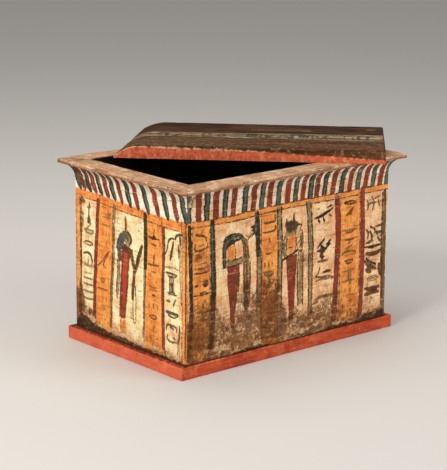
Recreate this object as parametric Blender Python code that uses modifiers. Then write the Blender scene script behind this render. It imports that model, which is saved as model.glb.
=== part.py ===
# A painted wooden canopic chest: a box with a cavetto cornice on a low plinth, its lid laid askew on the rim.
# Metres, +Z up. X runs along the chest, the front is at -Y. Z = 0 is the underside of the plinth.
# The origin is the middle of that underside.

from math import cos, pi, radians, sin, sqrt

import bmesh
import bpy
from mathutils import Vector

# Boards that touch keep this gap between them
clearance = 0.0003

# The box
bodyLength = 0.600
bodyDepth = 0.393
wallThickness = 0.023
wallTop = 0.3715

# The plinth: a base board between two end battens, standing out past the box
plinthHeight = 0.0287
plinthReachAtEnds = 0.0185
plinthReachAtSides = 0.006
battenWidth = 0.040
plinthArris = 0.0012

# The cornice: a cavetto under a flat lip
corniceHeight = 0.043
corniceReach = 0.0296
lipHeight = 0.009
lipStep = 0.002
cavettoSteps = 10

# The lid: its underside laps the opening's edges. One end is rounded down to a thin nose, which is cut a little askew
lidLapAtEnds = 0.026
lidLapAtSides = 0.0065
lidFrontThickness = 0.030
lidBackThickness = 0.018
lidNoseLength = 0.056
lidNoseSkew = 0.028
lidNoseThickness = 0.004
lidNoseSteps = 10

# How the lid lies askew on the rim
lidTurn = radians(-45.0)
lidShiftX = 0.114
lidShiftY = 0.062

# What follows from the sizes above
openingLength = bodyLength - 2 * wallThickness
openingDepth = bodyDepth - 2 * wallThickness
wallBottom = plinthHeight + clearance
corniceBottom = wallTop + clearance
rimTop = corniceBottom + corniceHeight
lidLength = openingLength + 2 * lidLapAtEnds
lidDepth = openingDepth + 2 * lidLapAtSides


def clearScene():
    for old in list(bpy.data.objects):
        bpy.data.objects.remove(old, do_unlink=True)


def makeMaterial(name, colour, roughness):
    material = bpy.data.materials.new(name)
    material.use_nodes = True
    shader = material.node_tree.nodes["Principled BSDF"]
    shader.inputs["Base Color"].default_value = (*colour, 1.0)
    shader.inputs["Roughness"].default_value = roughness
    shader.inputs["Metallic"].default_value = 0.0
    material.diffuse_color = (*colour, 1.0)
    return material


def addObject(name, mesh, material):
    obj = bpy.data.objects.new(name, mesh)
    mesh.materials.append(material)
    chest.objects.link(obj)
    return obj


def meshFrom(bm, name):
    bmesh.ops.recalc_face_normals(bm, faces=bm.faces)
    mesh = bpy.data.meshes.new(name)
    bm.to_mesh(mesh)
    bm.free()
    return mesh


def makeBoard(name, size, centre, material, arris=0.0):
    bm = bmesh.new()
    bmesh.ops.create_cube(bm, size=1.0)
    bmesh.ops.scale(bm, vec=Vector(size), verts=bm.verts)
    board = addObject(name, meshFrom(bm, name), material)
    board.location = centre
    if arris:
        bevel = board.modifiers.new("Arris", "BEVEL")
        bevel.width = arris
        bevel.segments = 2
    return board


def corniceProfile():
    """Points of the moulding's section as (reach out from the inner face, height)."""
    foot = wallThickness
    hollowReach = corniceReach - lipStep
    hollowHeight = corniceHeight - lipHeight
    points = [(0.0, corniceHeight), (0.0, 0.0)]
    for step in range(cavettoSteps + 1):
        turn = pi / 2 * step / cavettoSteps
        points.append((foot + hollowReach * (1 - cos(turn)), hollowHeight * sin(turn)))
    points.append((foot + corniceReach, hollowHeight))
    points.append((foot + corniceReach, corniceHeight))
    return points


def makeCornice(name, innerLength, innerReach, turn, material):
    """A length of moulding with mitred ends. It faces -Y before it is turned about the chest's middle."""
    bm = bmesh.new()
    mitreGap = clearance / sqrt(2)
    outline = [bm.verts.new((0.0, -reach, height)) for reach, height in corniceProfile()]
    section = bm.faces.new(outline)
    grown = bmesh.ops.extrude_face_region(bm, geom=[section])
    farEnd = {item for item in grown["geom"] if isinstance(item, bmesh.types.BMVert)}
    for vert in bm.verts:
        halfLength = innerLength / 2 - mitreGap - vert.co.y
        vert.co.x = halfLength if vert in farEnd else -halfLength
    bmesh.ops.translate(bm, vec=(0.0, -innerReach, 0.0), verts=bm.verts)
    moulding = addObject(name, meshFrom(bm, name), material)
    moulding.location = (0.0, 0.0, corniceBottom)
    moulding.rotation_euler.z = turn
    return moulding


def lidProfile():
    """The lid's side outline as (distance along, share of the full thickness)."""
    noseShare = lidNoseThickness / lidFrontThickness
    left = -lidLength / 2
    points = [(left, 0.0)]
    for step in range(lidNoseSteps + 1):
        share = step / lidNoseSteps
        height = noseShare + (1 - noseShare) * (1 - (1 - share) ** 2)
        points.append((left + lidNoseLength * share, height))
    points.append((lidLength / 2, 1.0))
    points.append((lidLength / 2, 0.0))
    return points


def makeLid(name, material):
    bm = bmesh.new()
    outline = [bm.verts.new((along, -lidDepth / 2, share)) for along, share in lidProfile()]
    side = bm.faces.new(outline)
    grown = bmesh.ops.extrude_face_region(bm, geom=[side])
    backSide = {item for item in grown["geom"] if isinstance(item, bmesh.types.BMVert)}
    for vert in bm.verts:
        if vert in backSide:
            if vert.co.x < 0:
                vert.co.x += lidNoseSkew
            vert.co.y = lidDepth / 2
            vert.co.z *= lidBackThickness
        else:
            vert.co.z *= lidFrontThickness
    lid = addObject(name, meshFrom(bm, name), material)
    lid.location = (lidShiftX, lidShiftY, rimTop + clearance)
    lid.rotation_euler.z = lidTurn
    return lid


def buildPlinth():
    length = bodyLength + 2 * plinthReachAtEnds
    depth = bodyDepth + 2 * plinthReachAtSides
    boardLength = length - 2 * battenWidth - 2 * clearance
    middle = plinthHeight / 2
    makeBoard("base_board", (boardLength, depth, plinthHeight), (0.0, 0.0, middle), redPaint, plinthArris)
    for name, side in (("base_batten_left", -1), ("base_batten_right", 1)):
        centre = (side * (length - battenWidth) / 2, 0.0, middle)
        makeBoard(name, (battenWidth, depth, plinthHeight), centre, redPaint, plinthArris)


def buildWalls():
    height = wallTop - wallBottom
    middle = (wallTop + wallBottom) / 2
    for name, side in (("wall_front", -1), ("wall_back", 1)):
        centre = (0.0, side * (bodyDepth - wallThickness) / 2, middle)
        makeBoard(name, (bodyLength, wallThickness, height), centre, ochrePaint)
    for name, side in (("wall_left", -1), ("wall_right", 1)):
        centre = (side * (bodyLength - wallThickness) / 2, 0.0, middle)
        makeBoard(name, (wallThickness, openingDepth - 2 * clearance, height), centre, ochrePaint)


def buildCornice():
    makeCornice("cornice_front", openingLength, openingDepth / 2, 0.0, stripePaint)
    makeCornice("cornice_right", openingDepth, openingLength / 2, radians(90), stripePaint)
    makeCornice("cornice_back", openingLength, openingDepth / 2, radians(180), stripePaint)
    makeCornice("cornice_left", openingDepth, openingLength / 2, radians(-90), stripePaint)


clearScene()

chest = bpy.data.collections.new("canopic_chest")
bpy.context.scene.collection.children.link(chest)

redPaint = makeMaterial("Red paint", (0.52, 0.10, 0.04), 0.7)
ochrePaint = makeMaterial("Ochre paint", (0.62, 0.28, 0.09), 0.75)
stripePaint = makeMaterial("Cream and red paint", (0.60, 0.42, 0.26), 0.75)
darkVarnish = makeMaterial("Darkened varnish", (0.14, 0.075, 0.045), 0.6)

buildPlinth()
buildWalls()
buildCornice()
makeLid("lid", darkVarnish)
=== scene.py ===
import math
import random

import bmesh
import bpy
import numpy as np
from mathutils import Matrix, Vector


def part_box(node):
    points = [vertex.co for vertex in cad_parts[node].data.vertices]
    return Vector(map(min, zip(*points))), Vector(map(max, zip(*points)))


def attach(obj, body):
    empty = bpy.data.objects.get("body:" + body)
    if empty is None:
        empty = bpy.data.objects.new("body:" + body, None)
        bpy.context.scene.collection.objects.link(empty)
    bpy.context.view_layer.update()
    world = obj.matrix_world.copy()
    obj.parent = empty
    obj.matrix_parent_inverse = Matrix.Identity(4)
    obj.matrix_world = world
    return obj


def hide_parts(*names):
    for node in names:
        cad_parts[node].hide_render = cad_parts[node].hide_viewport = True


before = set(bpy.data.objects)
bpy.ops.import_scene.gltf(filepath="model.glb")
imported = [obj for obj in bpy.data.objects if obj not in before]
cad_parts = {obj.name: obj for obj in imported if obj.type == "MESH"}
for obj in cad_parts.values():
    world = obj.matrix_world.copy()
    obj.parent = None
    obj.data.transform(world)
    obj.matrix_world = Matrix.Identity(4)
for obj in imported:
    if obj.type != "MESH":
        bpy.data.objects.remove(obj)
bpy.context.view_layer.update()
print("frame loaded:", len(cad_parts), "boards")

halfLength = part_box("wall_front")[1].x
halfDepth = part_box("wall_back")[1].y


# Plain numbers

def smooth(low, high, value):
    share = np.clip((value - low) / (high - low), 0, 1)
    return share * share * (3 - 2 * share)


def dice(cell, seed):
    mixed = (cell * (374761393, 668265263, 1274126177)).sum(axis=-1) + seed * 974634777
    mixed = mixed & 0xFFFFFFFF
    mixed = ((mixed ^ (mixed >> 13)) * 1274126177) & 0xFFFFFFFF
    return (mixed ^ (mixed >> 16)) / 0xFFFFFFFF


def softNoise(points, size, seed):
    place = np.asarray(points) / size + seed * 17.13
    cell = np.floor(place).astype(np.int64)
    part = place - cell
    part = part * part * (3 - 2 * part)
    total = 0.0
    for corner in np.ndindex(2, 2, 2):
        weight = 1.0
        for axis in range(3):
            weight = weight * (part[..., axis] if corner[axis] else 1 - part[..., axis])
        total = total + weight * dice(cell + np.array(corner), seed)
    return total * 2 - 1


def roughNoise(points, size, seed, steps=3):
    total = 0.0
    for step in range(steps):
        total = total + softNoise(points, size / 2 ** step, seed + step * 7) / 2 ** step
    return total / 1.6


def srgb(red, green, blue):
    linear = [(part / 255 / 12.92) if part < 11 else ((part / 255 + 0.055) / 1.055) ** 2.4
              for part in (red, green, blue)]
    return (*linear, 1.0)


def addObject(name, data):
    made = bpy.data.objects.new(name, data)
    bpy.context.scene.collection.objects.link(made)
    return made


# Materials: sums on wires add their own nodes

class Wire:
    def __init__(self, finish, socket):
        self.finish = finish
        self.socket = socket

    def maths(self, operation, *others):
        return self.finish.maths(operation, self, *others)

    def __add__(self, other):
        return self.finish.maths("ADD", self, other)

    def __radd__(self, other):
        return self.finish.maths("ADD", other, self)

    def __sub__(self, other):
        return self.finish.maths("SUBTRACT", self, other)

    def __rsub__(self, other):
        return self.finish.maths("SUBTRACT", other, self)

    def __mul__(self, other):
        return self.finish.maths("MULTIPLY", self, other)

    def __rmul__(self, other):
        return self.finish.maths("MULTIPLY", other, self)

    def ramp(self, low, high):  # 0 below low, 1 above high, soft between
        return self.finish.node("ShaderNodeMapRange", {"interpolation_type": "SMOOTHSTEP"},
                                {"Value": self, "From Min": low, "From Max": high})


class Finish:
    def __init__(self, name):
        self.material = bpy.data.materials.new(name)
        self.material.use_nodes = True
        self.tree = self.material.node_tree
        self.shader = self.tree.nodes["Principled BSDF"]
        self.place = self.node("ShaderNodeTexCoord", output="Object")

    def plug(self, socket, value):
        if isinstance(value, Wire):
            self.tree.links.new(value.socket, socket)
        else:
            socket.default_value = value

    def node(self, kind, settings=None, values=None, output=0):
        made = self.tree.nodes.new(kind)
        for name, value in (settings or {}).items():
            setattr(made, name, value)
        for name, value in (values or {}).items():
            self.plug(made.inputs[name], value)
        return Wire(self, made.outputs[output])

    def maths(self, operation, first, second):
        return self.node("ShaderNodeMath", {"operation": operation}, {0: first, 1: second})

    def vector(self, operation, *values):
        return self.node("ShaderNodeVectorMath", {"operation": operation}, dict(enumerate(values)))

    def texture(self, vector, scale, detail, roughness):
        values = {"Vector": vector, "Scale": scale, "Detail": detail, "Roughness": roughness}
        return self.node("ShaderNodeTexNoise", values=values)

    def noise(self, scale, detail, roughness, shift=None, stretch=None):
        where = self.vector("MULTIPLY", self.place, stretch) if stretch else self.place
        if shift is not None:
            where = self.vector("ADD", where, (shift, shift * 1.7, -shift))
        return self.texture(where, scale, detail, roughness)

    def layer(self, name):
        return self.node("ShaderNodeAttribute", {"attribute_name": name}, output="Fac")

    def mix(self, factor, first, second, blend="MIX"):
        settings = {"data_type": "RGBA", "blend_type": blend}
        return self.node("ShaderNodeMix", settings, {0: factor, 6: first, 7: second}, 2)

    def coats(self, colour, *coats):  # each coat is a mask, a tone and, if need be, a way to blend
        for mask, *tone in coats:
            colour = self.mix(mask, colour, *tone)
        return colour

    def bump(self, height, strength, distance):
        values = {"Height": height, "Strength": strength, "Distance": distance}
        return self.node("ShaderNodeBump", values=values)

    def set(self, **values):
        for name, value in values.items():
            self.plug(self.shader.inputs[name.replace("_", " ")], value)
        return self.material


# Paint is laid on a face's grid as distances in millimetres to the edge of each stroke, below zero inside.
# Along runs from the face's left corner, seen from outside; up is the height above the floor.

far = 12.0
paintLayers = ("orange", "red", "rose", "grey", "brown", "green", "teal", "ink")
otherLayers = {"strength": 1.0, "grime": 0.0, "blush": 0.35, "chalk": 0.0, "bare": 40.0, "pale": far,
               "edge": 40.0}


def rounded(points, times, closed=False):
    points = np.array(points, float)
    for _ in range(times if closed or len(points) > 2 else 0):
        after = np.roll(points, -1, axis=0)
        cut = np.stack([points * 0.75 + after * 0.25, points * 0.25 + after * 0.75], 1).reshape(-1, 2)
        points = cut if closed else np.vstack([points[:1], cut[1:-3], points[-1:]])
    return points


def nearest(u, v, start, step, length):  # the run along a straight step, and the gap to it
    way = step / length
    run = np.clip((u - start[0]) * way[0] + (v - start[1]) * way[1], 0, length)
    return run, np.hypot(u - start[0] - run * way[0], v - start[1] - run * way[1])


class Painting:
    def __init__(self, along, up, seed):
        self.along, self.up = along, up
        self.seed = seed
        self.random = random.Random(seed)
        flatU, flatV = np.meshgrid(along, up)
        place = self.place = np.stack([flatU, flatV, np.full_like(flatU, 3.0)], -1)
        self.u = flatU + 1.6 * softNoise(place, 70, seed) + 0.9 * softNoise(place, 14, seed + 1)
        self.v = flatV + 1.4 * softNoise(place, 62, seed + 2) + 0.9 * softNoise(place, 13, seed + 3)
        values = {**dict.fromkeys(paintLayers, far), **otherLayers}
        self.layers = {name: np.full(flatU.shape, value) for name, value in values.items()}

    def window(self, points):
        low, high = points.min(axis=0) - far, points.max(axis=0) + far
        rows = slice(*np.searchsorted(self.up, (low[1], high[1])))
        return rows, slice(*np.searchsorted(self.along, (low[0], high[0])))

    def lay(self, layer, window, distance, strength=1.0):
        current = self.layers[layer][window]
        if layer == "ink":
            self.layers["strength"][window][distance < current] = strength
        self.layers[layer][window] = np.minimum(current, distance)

    def stroke(self, layer, points, width, tip=0.5, strength=1.0):
        points = rounded(points, 2)
        window = self.window(points)
        u, v = self.u[window], self.v[window]
        if not u.size:
            return
        steps = np.diff(points, axis=0)
        lengths = np.maximum(np.hypot(steps[:, 0], steps[:, 1]), 1e-6)
        best = np.full(u.shape, far)
        before = 0.0
        for start, step, length in zip(points, steps, lengths):
            run, gap = nearest(u, v, start, step, length)
            share = np.clip((before + run) / lengths.sum(), 0, 1)
            half = width / 2 * (tip + (1 - tip) * np.sqrt(np.sin(np.pi * share)))
            best = np.minimum(best, gap - half)
            before += length
        self.lay(layer, window, best, strength)

    def shape(self, layer, points, strength=1.0, bend=1):
        points = rounded(points, bend, closed=True)
        window = self.window(points)
        u, v = self.u[window], self.v[window]
        if not u.size:
            return
        best = np.full(u.shape, far)
        inside = np.zeros(u.shape, bool)
        for start, end in zip(points, np.roll(points, -1, axis=0)):
            step = end - start
            best = np.minimum(best, nearest(u, v, start, step, max(float(np.hypot(*step)), 1e-6))[1])
            if start[1] != end[1]:
                crosses = (start[1] > v) != (end[1] > v)
                inside ^= crosses & (u < start[0] + (v - start[1]) * step[0] / step[1])
        self.lay(layer, window, np.where(inside, -best, best), strength)

    def oval(self, layer, u, v, radiusU, radiusV, strength=1.0):
        turns = np.linspace(0, 2 * np.pi, 12, endpoint=False)
        self.shape(layer, np.stack([u + radiusU * np.cos(turns), v + radiusV * np.sin(turns)], 1), strength)

    def ribbon(self, layer, points, width):
        self.stroke(layer, points, width, 0.94)

    def band(self, layer, left, right):  # both edges as (along, up) points, from the foot up
        self.shape(layer, np.vstack([left, right[::-1]]), bend=0)
        for points in (left, right):
            self.stroke("brown", points, 2.6, 0.8)

    def doubleStripe(self, points, width, line=4.2):
        self.ribbon("grey", points, width - 2 * line)
        for side in (-0.5, 0.5):
            self.ribbon("green", [(u + side * (width - line), v) for u, v in points], line)

    def seam(self, layer, low, high):
        distance = np.maximum(self.line(low) - self.v, self.v - self.line(high))
        self.lay(layer, (slice(None), slice(None)), np.minimum(distance, far))

    def line(self, points):
        return np.interp(self.along, *zip(*points))[None, :]

    def column(self, layer, entries, u, halfWidth, weight=4.4):
        chance = self.random.uniform

        def shaken(value):
            return value + chance(-0.8, 0.8)

        for name, v, halfHeight, share, strength in entries:
            for mark in marks[name]:
                placed = [(shaken(u + x * halfWidth * share), shaken(v + y * halfHeight))
                          for x, y in zip(mark[::2], mark[1::2])]
                self.stroke(layer, placed, weight * chance(0.8, 1.2), 0.6, strength)

    def figure(self, name, u, foot, top):
        rows, tall = figures[name]
        self.draw(rows, u, foot, (top - foot) / tall)

    def stain(self, layer, amount, *spots):
        for u, v, radiusU, radiusV in spots:
            distance = ((self.u - u) / radiusU) ** 2 + ((self.v - v) / radiusV) ** 2
            self.layers[layer] += amount * np.exp(-distance)

    def weather(self, ground, amount, stainReach, stainLine, bareLine):
        wander = roughNoise(self.place, 26, self.seed + 20) * stainReach * 0.6
        stain = smooth(-stainReach, stainReach, self.line(stainLine) - self.v + wander)
        self.layers["grime"] = self.layers["grime"] + amount * stain + ground
        self.layers["bare"] = self.v - self.line(bareLine) + roughNoise(self.place, 10, self.seed + 30) * 6

    def wearEdge(self, distance, seed):
        self.layers["edge"] = distance + 2.4 * softNoise(self.place, 30, seed)

    # A row: a layer, a kind or a stroke's width, the kind's numbers, and lines as runs of along and up
    def draw(self, rows, u=0.0, foot=0.0, size=1.0):
        for layer, kind, *rest in rows:
            numbers = [part for part in rest if not isinstance(part, tuple)]
            parts = [part for part in rest if isinstance(part, tuple)]
            if kind == "column":
                self.column(layer, parts, *numbers)
                continue
            if kind == "stain":
                self.stain(layer, *numbers, *parts)
                continue
            lines = [np.array(part, float).reshape(-1, 2) * size + (u, foot) for part in parts]
            if kind == "figure":
                self.figure(layer, *numbers)
            elif kind in ("shape", "cut"):
                for line in lines:
                    self.shape(layer, line, *numbers, bend=1 if kind == "shape" else 0)
            elif kind == "oval":
                for line, part in zip(lines, parts):
                    self.oval(layer, *line[0], *part[2:], *numbers)
            elif kind == "band":
                for left, right in zip(lines[::2], lines[1::2]):
                    self.band(layer, left, right)
            elif kind == "double":
                self.doubleStripe(*lines, *numbers)
            elif kind == "seam":
                self.seam(layer, *lines)
            elif kind == "weather":
                self.weather(*numbers, *lines)
            elif kind == "add":
                self.layers[layer] += numbers[0]
            elif kind == "thin":
                self.layers[layer] = np.maximum(self.layers[layer], numbers[0])
            else:
                for line in lines:
                    self.stroke(layer, line, kind, *numbers)


# Marks for the columns: plain brush strokes in a square from -1 to 1, none of them a letter or a real sign

marks = {
    "bar": [(-0.95, 0.2, -0.1, -0.3, 0.95, 0.3)],
    "bars": [(-0.9, 0.6, 0, 0.45, 0.9, 0.65), (-0.8, -0.55, 0.9, -0.45)],
    "post": [(0.1, 0.95, -0.1, -0.95)],
    "drops": [(-0.75, 0.8, -0.8, -0.8), (0, 0.8, 0, -0.8), (0.75, 0.8, 0.8, -0.8)],
    "drop": [(0, 0.5, 0.1, -0.5)],
    "twoDrops": [(-0.6, 0.6, -0.65, -0.6), (0.6, 0.6, 0.5, -0.6)],
    "elbow": [(-0.95, 0.55, 0.2, 0.35, 0.85, 0.1, 0.95, -0.9)],
    "tray": [(-0.75, 0.9, -0.95, -0.6, 0, -0.9, 0.95, -0.5), (0.95, 0.8, 0.9, -0.5), (-0.3, 0.3, 0.4, 0.5)],
    "arch": [(-0.95, -0.5, -0.6, 0.45, 0.1, 0.6, 0.75, 0.15, 0.9, -0.8)],
    "dish": [(-0.95, 0.7, -0.5, -0.6, 0.2, -0.75, 0.7, -0.4, 0.95, 0.6), (-0.95, 0.7, 0.95, 0.65)],
    "pod": [(-0.95, 0, -0.4, 0.75, 0.4, 0.7, 0.95, 0.1, 0.4, -0.7, -0.4, -0.75, -0.95, 0)],
    "gate": [(-0.95, -0.9, -0.85, 0.7, 0, 0.95, 0.9, 0.6, 0.8, -0.6), (-0.3, 0.1, 0.3, -0.1)],
    "step": [(-0.75, 0.9, -0.8, -0.4, -0.1, -0.8, 0.95, -0.4), (0.3, 0.6, 0.6, 0.2)],
    "slant": [(0.95, 0.95, 0.1, 0.1, -0.95, -0.95)],
    "twig": [(0.95, 0.95, 0.2, 0.35, -0.95, -0.95), (0.75, 0.6, 0.1, -0.1, -0.2, -0.55),
             (-0.2, -0.3, 0.35, -0.75)],
    "mast": [(-0.95, -0.1, -0.4, -0.45, 0.4, -0.5, 0.95, -0.15), (0.1, 1, -0.1, 0.3, 0.05, -0.3)],
    "comb": [(-0.9, 0.75, 0.9, 0.8), (-0.5, 0.7, -0.5, -0.8), (0, 0.7, 0, -0.8),
             (0.5, 0.7, 0.55, -0.8), (-0.7, -0.8, 0.95, -0.75)],
    "fan": [(-0.3, -0.95, -0.1, 0.1, -0.8, 0.9), (-0.1, 0.1, 0.5, 0.45, 0.95, 0.6),
            (-0.2, -0.3, 0.6, -0.9)],
    "wave": [(-0.95, 0.3, -0.5, -0.4, 0, 0.35, 0.5, -0.35, 0.95, 0.3)],
}


# Stripes run down from the cornice onto the walls, dark and red in turn: their places along the walls' top

stripePlaces = {
    "front": [5, 31, 54, 79, 105, 129, 160, 186, 210, 232, 259, 285, 309, 332, 355, 375, 399, 425, 452, 478,
              504, 529, 553, 577, 597],
    "left": [8, 24, 46, 66, 87, 111, 134, 160, 190, 216, 250, 284, 318, 350, 378],
}
# The height below which a face's stripes stop
stripeCut = {"front": [(0, 337), (100, 337), (200, 340), (320, 342), (600, 344)],
             "left": [(0, 0), (400, 0)], "back": [(0, 341), (600, 341)], "right": [(0, 341), (600, 341)]}
stripe = {"pitch": 52, "narrow": 14.4, "wide": 16.8, "foot": 328, "top": 388, "chalk": (334, 346)}
faceWidth = {"front": 2000 * halfLength, "left": 2000 * halfDepth}
faceWidth.update(back=faceWidth["front"], right=faceWidth["left"])
faceSeed = {"front": 11, "left": 23, "back": 37, "right": 41}


def stripePlan(face):
    chance = random.Random(faceSeed[face] + 3)
    width = faceWidth[face]
    count = 2 * round(width / stripe["pitch"]) + 1
    places = stripePlaces.get(face) or [(step + 0.5) * width / count + chance.uniform(-2.5, 2.5)
                                        for step in range(count)]
    kinds = ("green", "red")
    return [(place, kinds[step % 2], chance.uniform(stripe["narrow"], stripe["wide"]))
            for step, place in enumerate(places)]


def frieze(painting, face):
    chance = painting.random
    isLeft = face == "left"
    painting.layers["chalk"] = smooth(*stripe["chalk"], painting.v)
    for place, kind, width in stripePlan(face):
        lean = 15.0 if isLeft else -1.0 - place * 0.012
        foot = np.interp(place, (60, 120, 160, 300), (347, 343, 338, 332)) if isLeft else stripe["foot"]
        middle = (place + lean * 0.4 + chance.uniform(-1, 1), 360)
        line = [(place - lean * 0.5, stripe["top"]), middle, (place + lean * 0.9, foot + width * 0.35)]
        painting.stroke(kind, line, width, 0.5 if isLeft else 0.95)
        if kind == "green":
            inner = [(x + 0.8, y + 3) for x, y in line]
            painting.stroke("teal", inner, width * chance.uniform(0.3, 0.7), 0.6)
    for kind in ("red", "green", "teal"):
        below = painting.line(stripeCut[face]) - painting.v
        painting.layers[kind] = np.maximum(painting.layers[kind], np.minimum(below, far))


# The figures are plain standing types with blank faces, in millimetres from the middle of their feet

wrappedRows = [
    ("orange", "cut", (-8, 168, -9, 202, 9, 203, 10, 168)),
    ("brown", 2.6, (10, 204, 12, 186, 11, 166), (-9, 202, -10, 166), (-9, 204, 0, 206, 9, 205)),
    ("red", "cut", (-13, 162, 19, 162, 19, 136, 16, 100, 13, 66, 10, 22, 0, 22, -4, 66, -9, 104, -12, 132)),
    ("green", "shape", (-26, 158, -25, 214, -18, 226, -4, 230, 18, 229, 31, 224, 38, 213, 26, 212, 12, 208,
      -3, 203, -13, 200, -15, 185, -15, 160)),
    ("teal", 4.4, 0.7, (-20, 166, -19, 204, -12, 215, 0, 219, 18, 219, 30, 215)),
    ("grey", 13, 0.8, (33, 213, 38, 200, 41, 182, 43, 170)),
    ("brown", 4, 0.7, (29, 212, 34, 196, 37, 172), (41, 212, 46, 196, 49, 170)),
    ("grey", 12, 0.9, (-20, 165, 6, 164, 28, 167, 48, 170)),
    ("ink", 3, 0.7, 0.9, (-24, 158, 6, 158, 30, 160, 50, 163), (-18, 171, 8, 170, 30, 173, 44, 178)),
    ("brown", 5, (20, 160, 21, 130, 20, 96), (18, 150, 16, 110, 13, 70)),
    ("grey", 18, 0.85, (43, 158, 44, 120, 43, 84)),
    ("brown", 4.6, 0.7, (35, 158, 35, 96), (53, 160, 53, 100, 50, 60)),
    ("brown", 15, (44, 118, 43, 92), (42, 84, 44, 54)),
    ("ink", 10, 0.4, 0.55, (44, 112, 45, 94), (40, 78, 43, 58)),
    ("brown", 5, 0.7, (36, 210, 40, 190, 43, 168), (43, 156, 44, 120)),
    ("pale", "oval", (-20, 214, 0.4, 0.4), (-12.4, 221.22, 0.4, 0.4), (-4.8, 218.93, 0.4, 0.4),
     (2.8, 222.32, 0.4, 0.4), (10.4, 215.67, 0.4, 0.4), (18, 216.25, 0.4, 0.4), (25.6, 209.64, 0.4, 0.4)),
]
spikyRows = [
    ("orange", "cut", (-10, 160, -11, 206, 11, 208, 13, 162)),
    ("red", "cut", (-15, 152, 19, 160, 18, 128, 14, 94, 11, 54, 8, 10, -5, 8, -7, 54, -9, 94, -13, 128)),
    ("brown", 2.4, (-9, 176, 12, 174), (12, 204, 15, 184, 13, 162)),
    ("ink", 7, 0.7, (-24, 150, -3, 155, 18, 166)),
    ("grey", 10, 0.8, (-15, 212, -20, 188, -19, 164, -13, 154)),
    ("ink", 3.4, 0.5, 0.9, (-20, 208, -25, 186, -22, 160, -17, 150), (-11, 206, -14, 186, -13, 166)),
    ("pale", 1.6, (-18, 200, -20, 186), (-20, 178, -19, 166)),
    ("ink", 4.5, 0.5, 0.8, (-30, 197, -18, 194)),
    ("grey", "cut", (-15, 203, -20, 226, -16, 234, -9, 236, -3, 233, 4, 236, 9, 234, 15, 229, 17, 216, 13,
      205, 2, 200)),
    ("ink", "cut", 0.85, (-15, 214, -21, 228, -18, 240, -12, 234, -7, 232, -4, 238, 0, 234, 5, 252, 8, 236,
      13, 230, 29, 223, 17, 219, 12, 212, 0, 208, -9, 209)),
    ("brown", 7, 0.6, (-12, 228, -4, 226, 6, 228)),
    ("teal", 7, 0.7, (-12, 217, -2, 216, 10, 217)),
    ("green", 4, 0.4, (-17, 241, -16, 226), (5, 253, 3, 230), (30, 223, 12, 222), (-6, 236, -7, 226)),
    ("ink", 3.4, 0.5, 0.8, (12, 208, 15, 184, 19, 166, 30, 162),
     (20, 196, 26, 214, 33, 206, 37, 180, 31, 164), (17, 178, 27, 190, 33, 204),
     (30, 234, 29, 220, 24, 214), (22, 170, 30, 178, 33, 192)),
    ("ink", "oval", 0.9, (30, 163, 6, 3.6)),
    ("grey", 9, 0.9, (29, 200, 30, 172), (30, 160, 29, 110, 28, 44)),
    ("brown", 4.4, 0.85, (22, 160, 21, 100, 21, 38), (37, 158, 36, 100, 35, 38)),
]
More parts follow.
